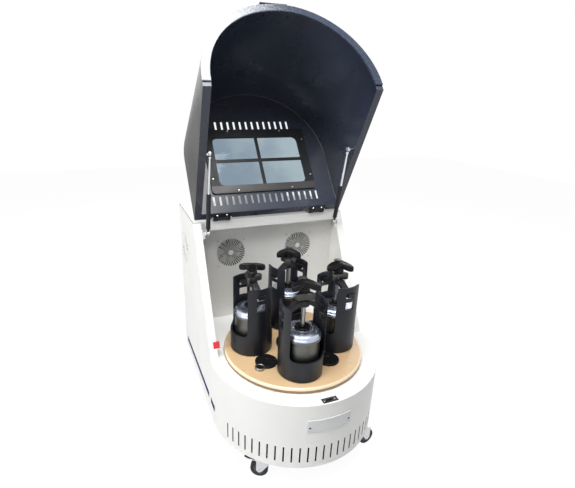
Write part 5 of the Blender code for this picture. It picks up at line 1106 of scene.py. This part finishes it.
# %% Sizes of the grips
KNOB_RINGS = [(3, 0.3, 1), (3, 0.6, 0.2), (7, 1, 0), (3, 1, 0.3), (0.8, 1, 2), (0, 1, 5.5),
              (0, 1, 12), (0.9, 1, 15.6), (3, 1, 18.2), (6, 1, 19.4), (7, 0.7, 19.9),
              (7, 0.35, 20), (7, 0.1, 20)]
NUT_RINGS = [(3, 0.5, 0), (3, 1, 0), (0.8, 1, 0.9), (0, 1, 3.5), (0, 1, 18), (1.2, 1, 20.6),
             (4, 1, 22), (4, 0.45, 22)]
KNOB_LOBE, KNOB_WAIST, KNOB_DROOP = 51, 18, 9
NUT_LOBE, NUT_WAIST = 34, 17
HUB_RADIUS, NUT_TO_HUB, HUB_OVERLAP = 17, 25, 1.5
NUT_SEAT, KNOB_SEAT = 257.3, 296
KNOB_TURN = (18, 33, -17, -26)
NUT_TURN = (18, 53, 43, -46)
KNOB_RISE = (10, 5, -4, 0)
NUT_RISE = (6, 0, 0, 0)
print("knob tips on a circle of", 2 * KNOB_LOBE, "mm, nut tips", 2 * NUT_LOBE, "mm")

# %% [markdown]
# Everything of one planet is now made in the holder's own middle and carried to its place on
# the disc by one matrix. The clamp bar is forged flat and cranked upwards in the middle, with
# a round boss for the thread. The frame's bar has this shape, so it only gets a soft edge.

# %% Build the four planets
PLANET_REACH = 149
FACING = (180, -83, -158, -83)
for number in range(4):
    label = str(number + 1)
    turn = radians(PLANET_PHASE + 90 * number)
    centre = AXIS + Vector((cos(turn), sin(turn), 0)) * PLANET_REACH * MM
    upright = (Matrix.Translation(centre + Vector((0, 0, DISC_TOP)))
               @ Matrix.Rotation(radians(FACING[number]), 4, "Z"))
    bm = bmesh.new()
    bm.from_mesh(holder_master.data)
    bmesh.ops.transform(bm, matrix=upright, verts=bm.verts[:])
    settle(show(bm, "holder_" + label, [holder_black], 0.0008), "jar_holder_" + label)
    settle(turned("jar_" + label, JAR_PROFILE, [polished], upright, bevel=0),
           "grinding_jar_" + label)
    settle(turned("lid_" + label, LID_PROFILE, [lid_steel], upright, bevel=0), "jar_lid_" + label)
    refine("clamp_bar_" + label, [black_paint], 0.0014, segments=3)
    screw = "clamp_screw_" + label
    settle(turned("spindle_" + label, SPINDLE_PROFILE, [spindle_steel], upright, 48), screw)
    add_on(turned("foot_" + label, FOOT_PROFILE, [black_mould], upright, 64), screw)
    nut_low, knob_low = NUT_SEAT + NUT_RISE[number], KNOB_SEAT + KNOB_RISE[number]
    add_on(lobed_grip("lock_nut_" + label, [nut_metal_wear_and_glints], upright, NUT_TURN[number], NUT_LOBE,
                      NUT_WAIST, nut_low, NUT_RINGS), screw)
    add_on(lobed_grip("star_knob_" + label, [black_mould], upright, KNOB_TURN[number], KNOB_LOBE,
                      KNOB_WAIST, knob_low, KNOB_RINGS,
                      (HUB_RADIUS, nut_low + NUT_TO_HUB, knob_low + HUB_OVERLAP), KNOB_DROOP),
           screw)
bpy.data.objects.remove(holder_master)

# %% [markdown]
# ## Casters
# The forks are pressed and plated steel, and the left front one has a brake pedal. A wheel
# is a hard black tyre on a grey hub with a recess on each side. Its profile is turned about
# the axle, which the frame gives with each rolling joint.

# %% Wheels and forks
HUB_EDGE = 20.6
WHEEL_HALF = [(4.3, 10.5), (7.5, 11.5), (9.5, 11.5), (11, 9), (19.5, 9), (21, 11.6), (25.6, 12),
              (28.6, 10.6), (30, 7.6)]
WHEEL_PROFILE = [(radius, -height) for radius, height in WHEEL_HALF] + WHEEL_HALF[::-1]
WHEEL_PROFILE.append(WHEEL_PROFILE[0])
for joint in frame["joints"]:
    node = joint["child"]
    if node.endswith(("wheel_left", "wheel_right")):
        axle = facing(Vector(joint["pos_m"]), joint["axis"])
        wheel = turned("caster_" + node, WHEEL_PROFILE, [rubber, hub_plastic], axle, 72, 0.0004,
                       paint=lambda place: 1 if hypot(place.x, place.y) < HUB_EDGE else 0)
        settle(wheel, node)
for node in ("front_fork_left", "front_fork_right", "rear_fork_left", "rear_fork_right"):
    refine(node, [zinc], 0.0008)
refine("brake_pedal", [chrome], 0.0008)

# %% [markdown]
# ## Drive, fans and controls
# The fans and the drive are mostly hidden, but they show through the slots and grilles. Their
# frame shapes are enough, with the screws of the fans, which reach the panel, in bare zinc.

# %% Fans and drive
FAN_FRONT = 295
for side in ("left", "right"):
    refine("fan_frame_" + side, [black_mould, zinc], 0.0006,
           paint=lambda place, normal: 1 if place.y < FAN_FRONT else 0)
    refine("fan_rotor_" + side, [black_mould])
refine("drive_motor", [cast_paint], 0.0015)
refine("sun_pulley", [zinc])

# %% [markdown]
# The console on top of the tower is painted like the cabinet, with the red stop button on it.
# The inlet for the mains lead is a black moulding low on the back.

# %% Controls and inlet
refine("control_panel", [powder_coat], 0.002, segments=3)
refine("stop_button", [red_plastic], 0.0015, segments=3)
refine("power_inlet", [black_mould], 0.0008)
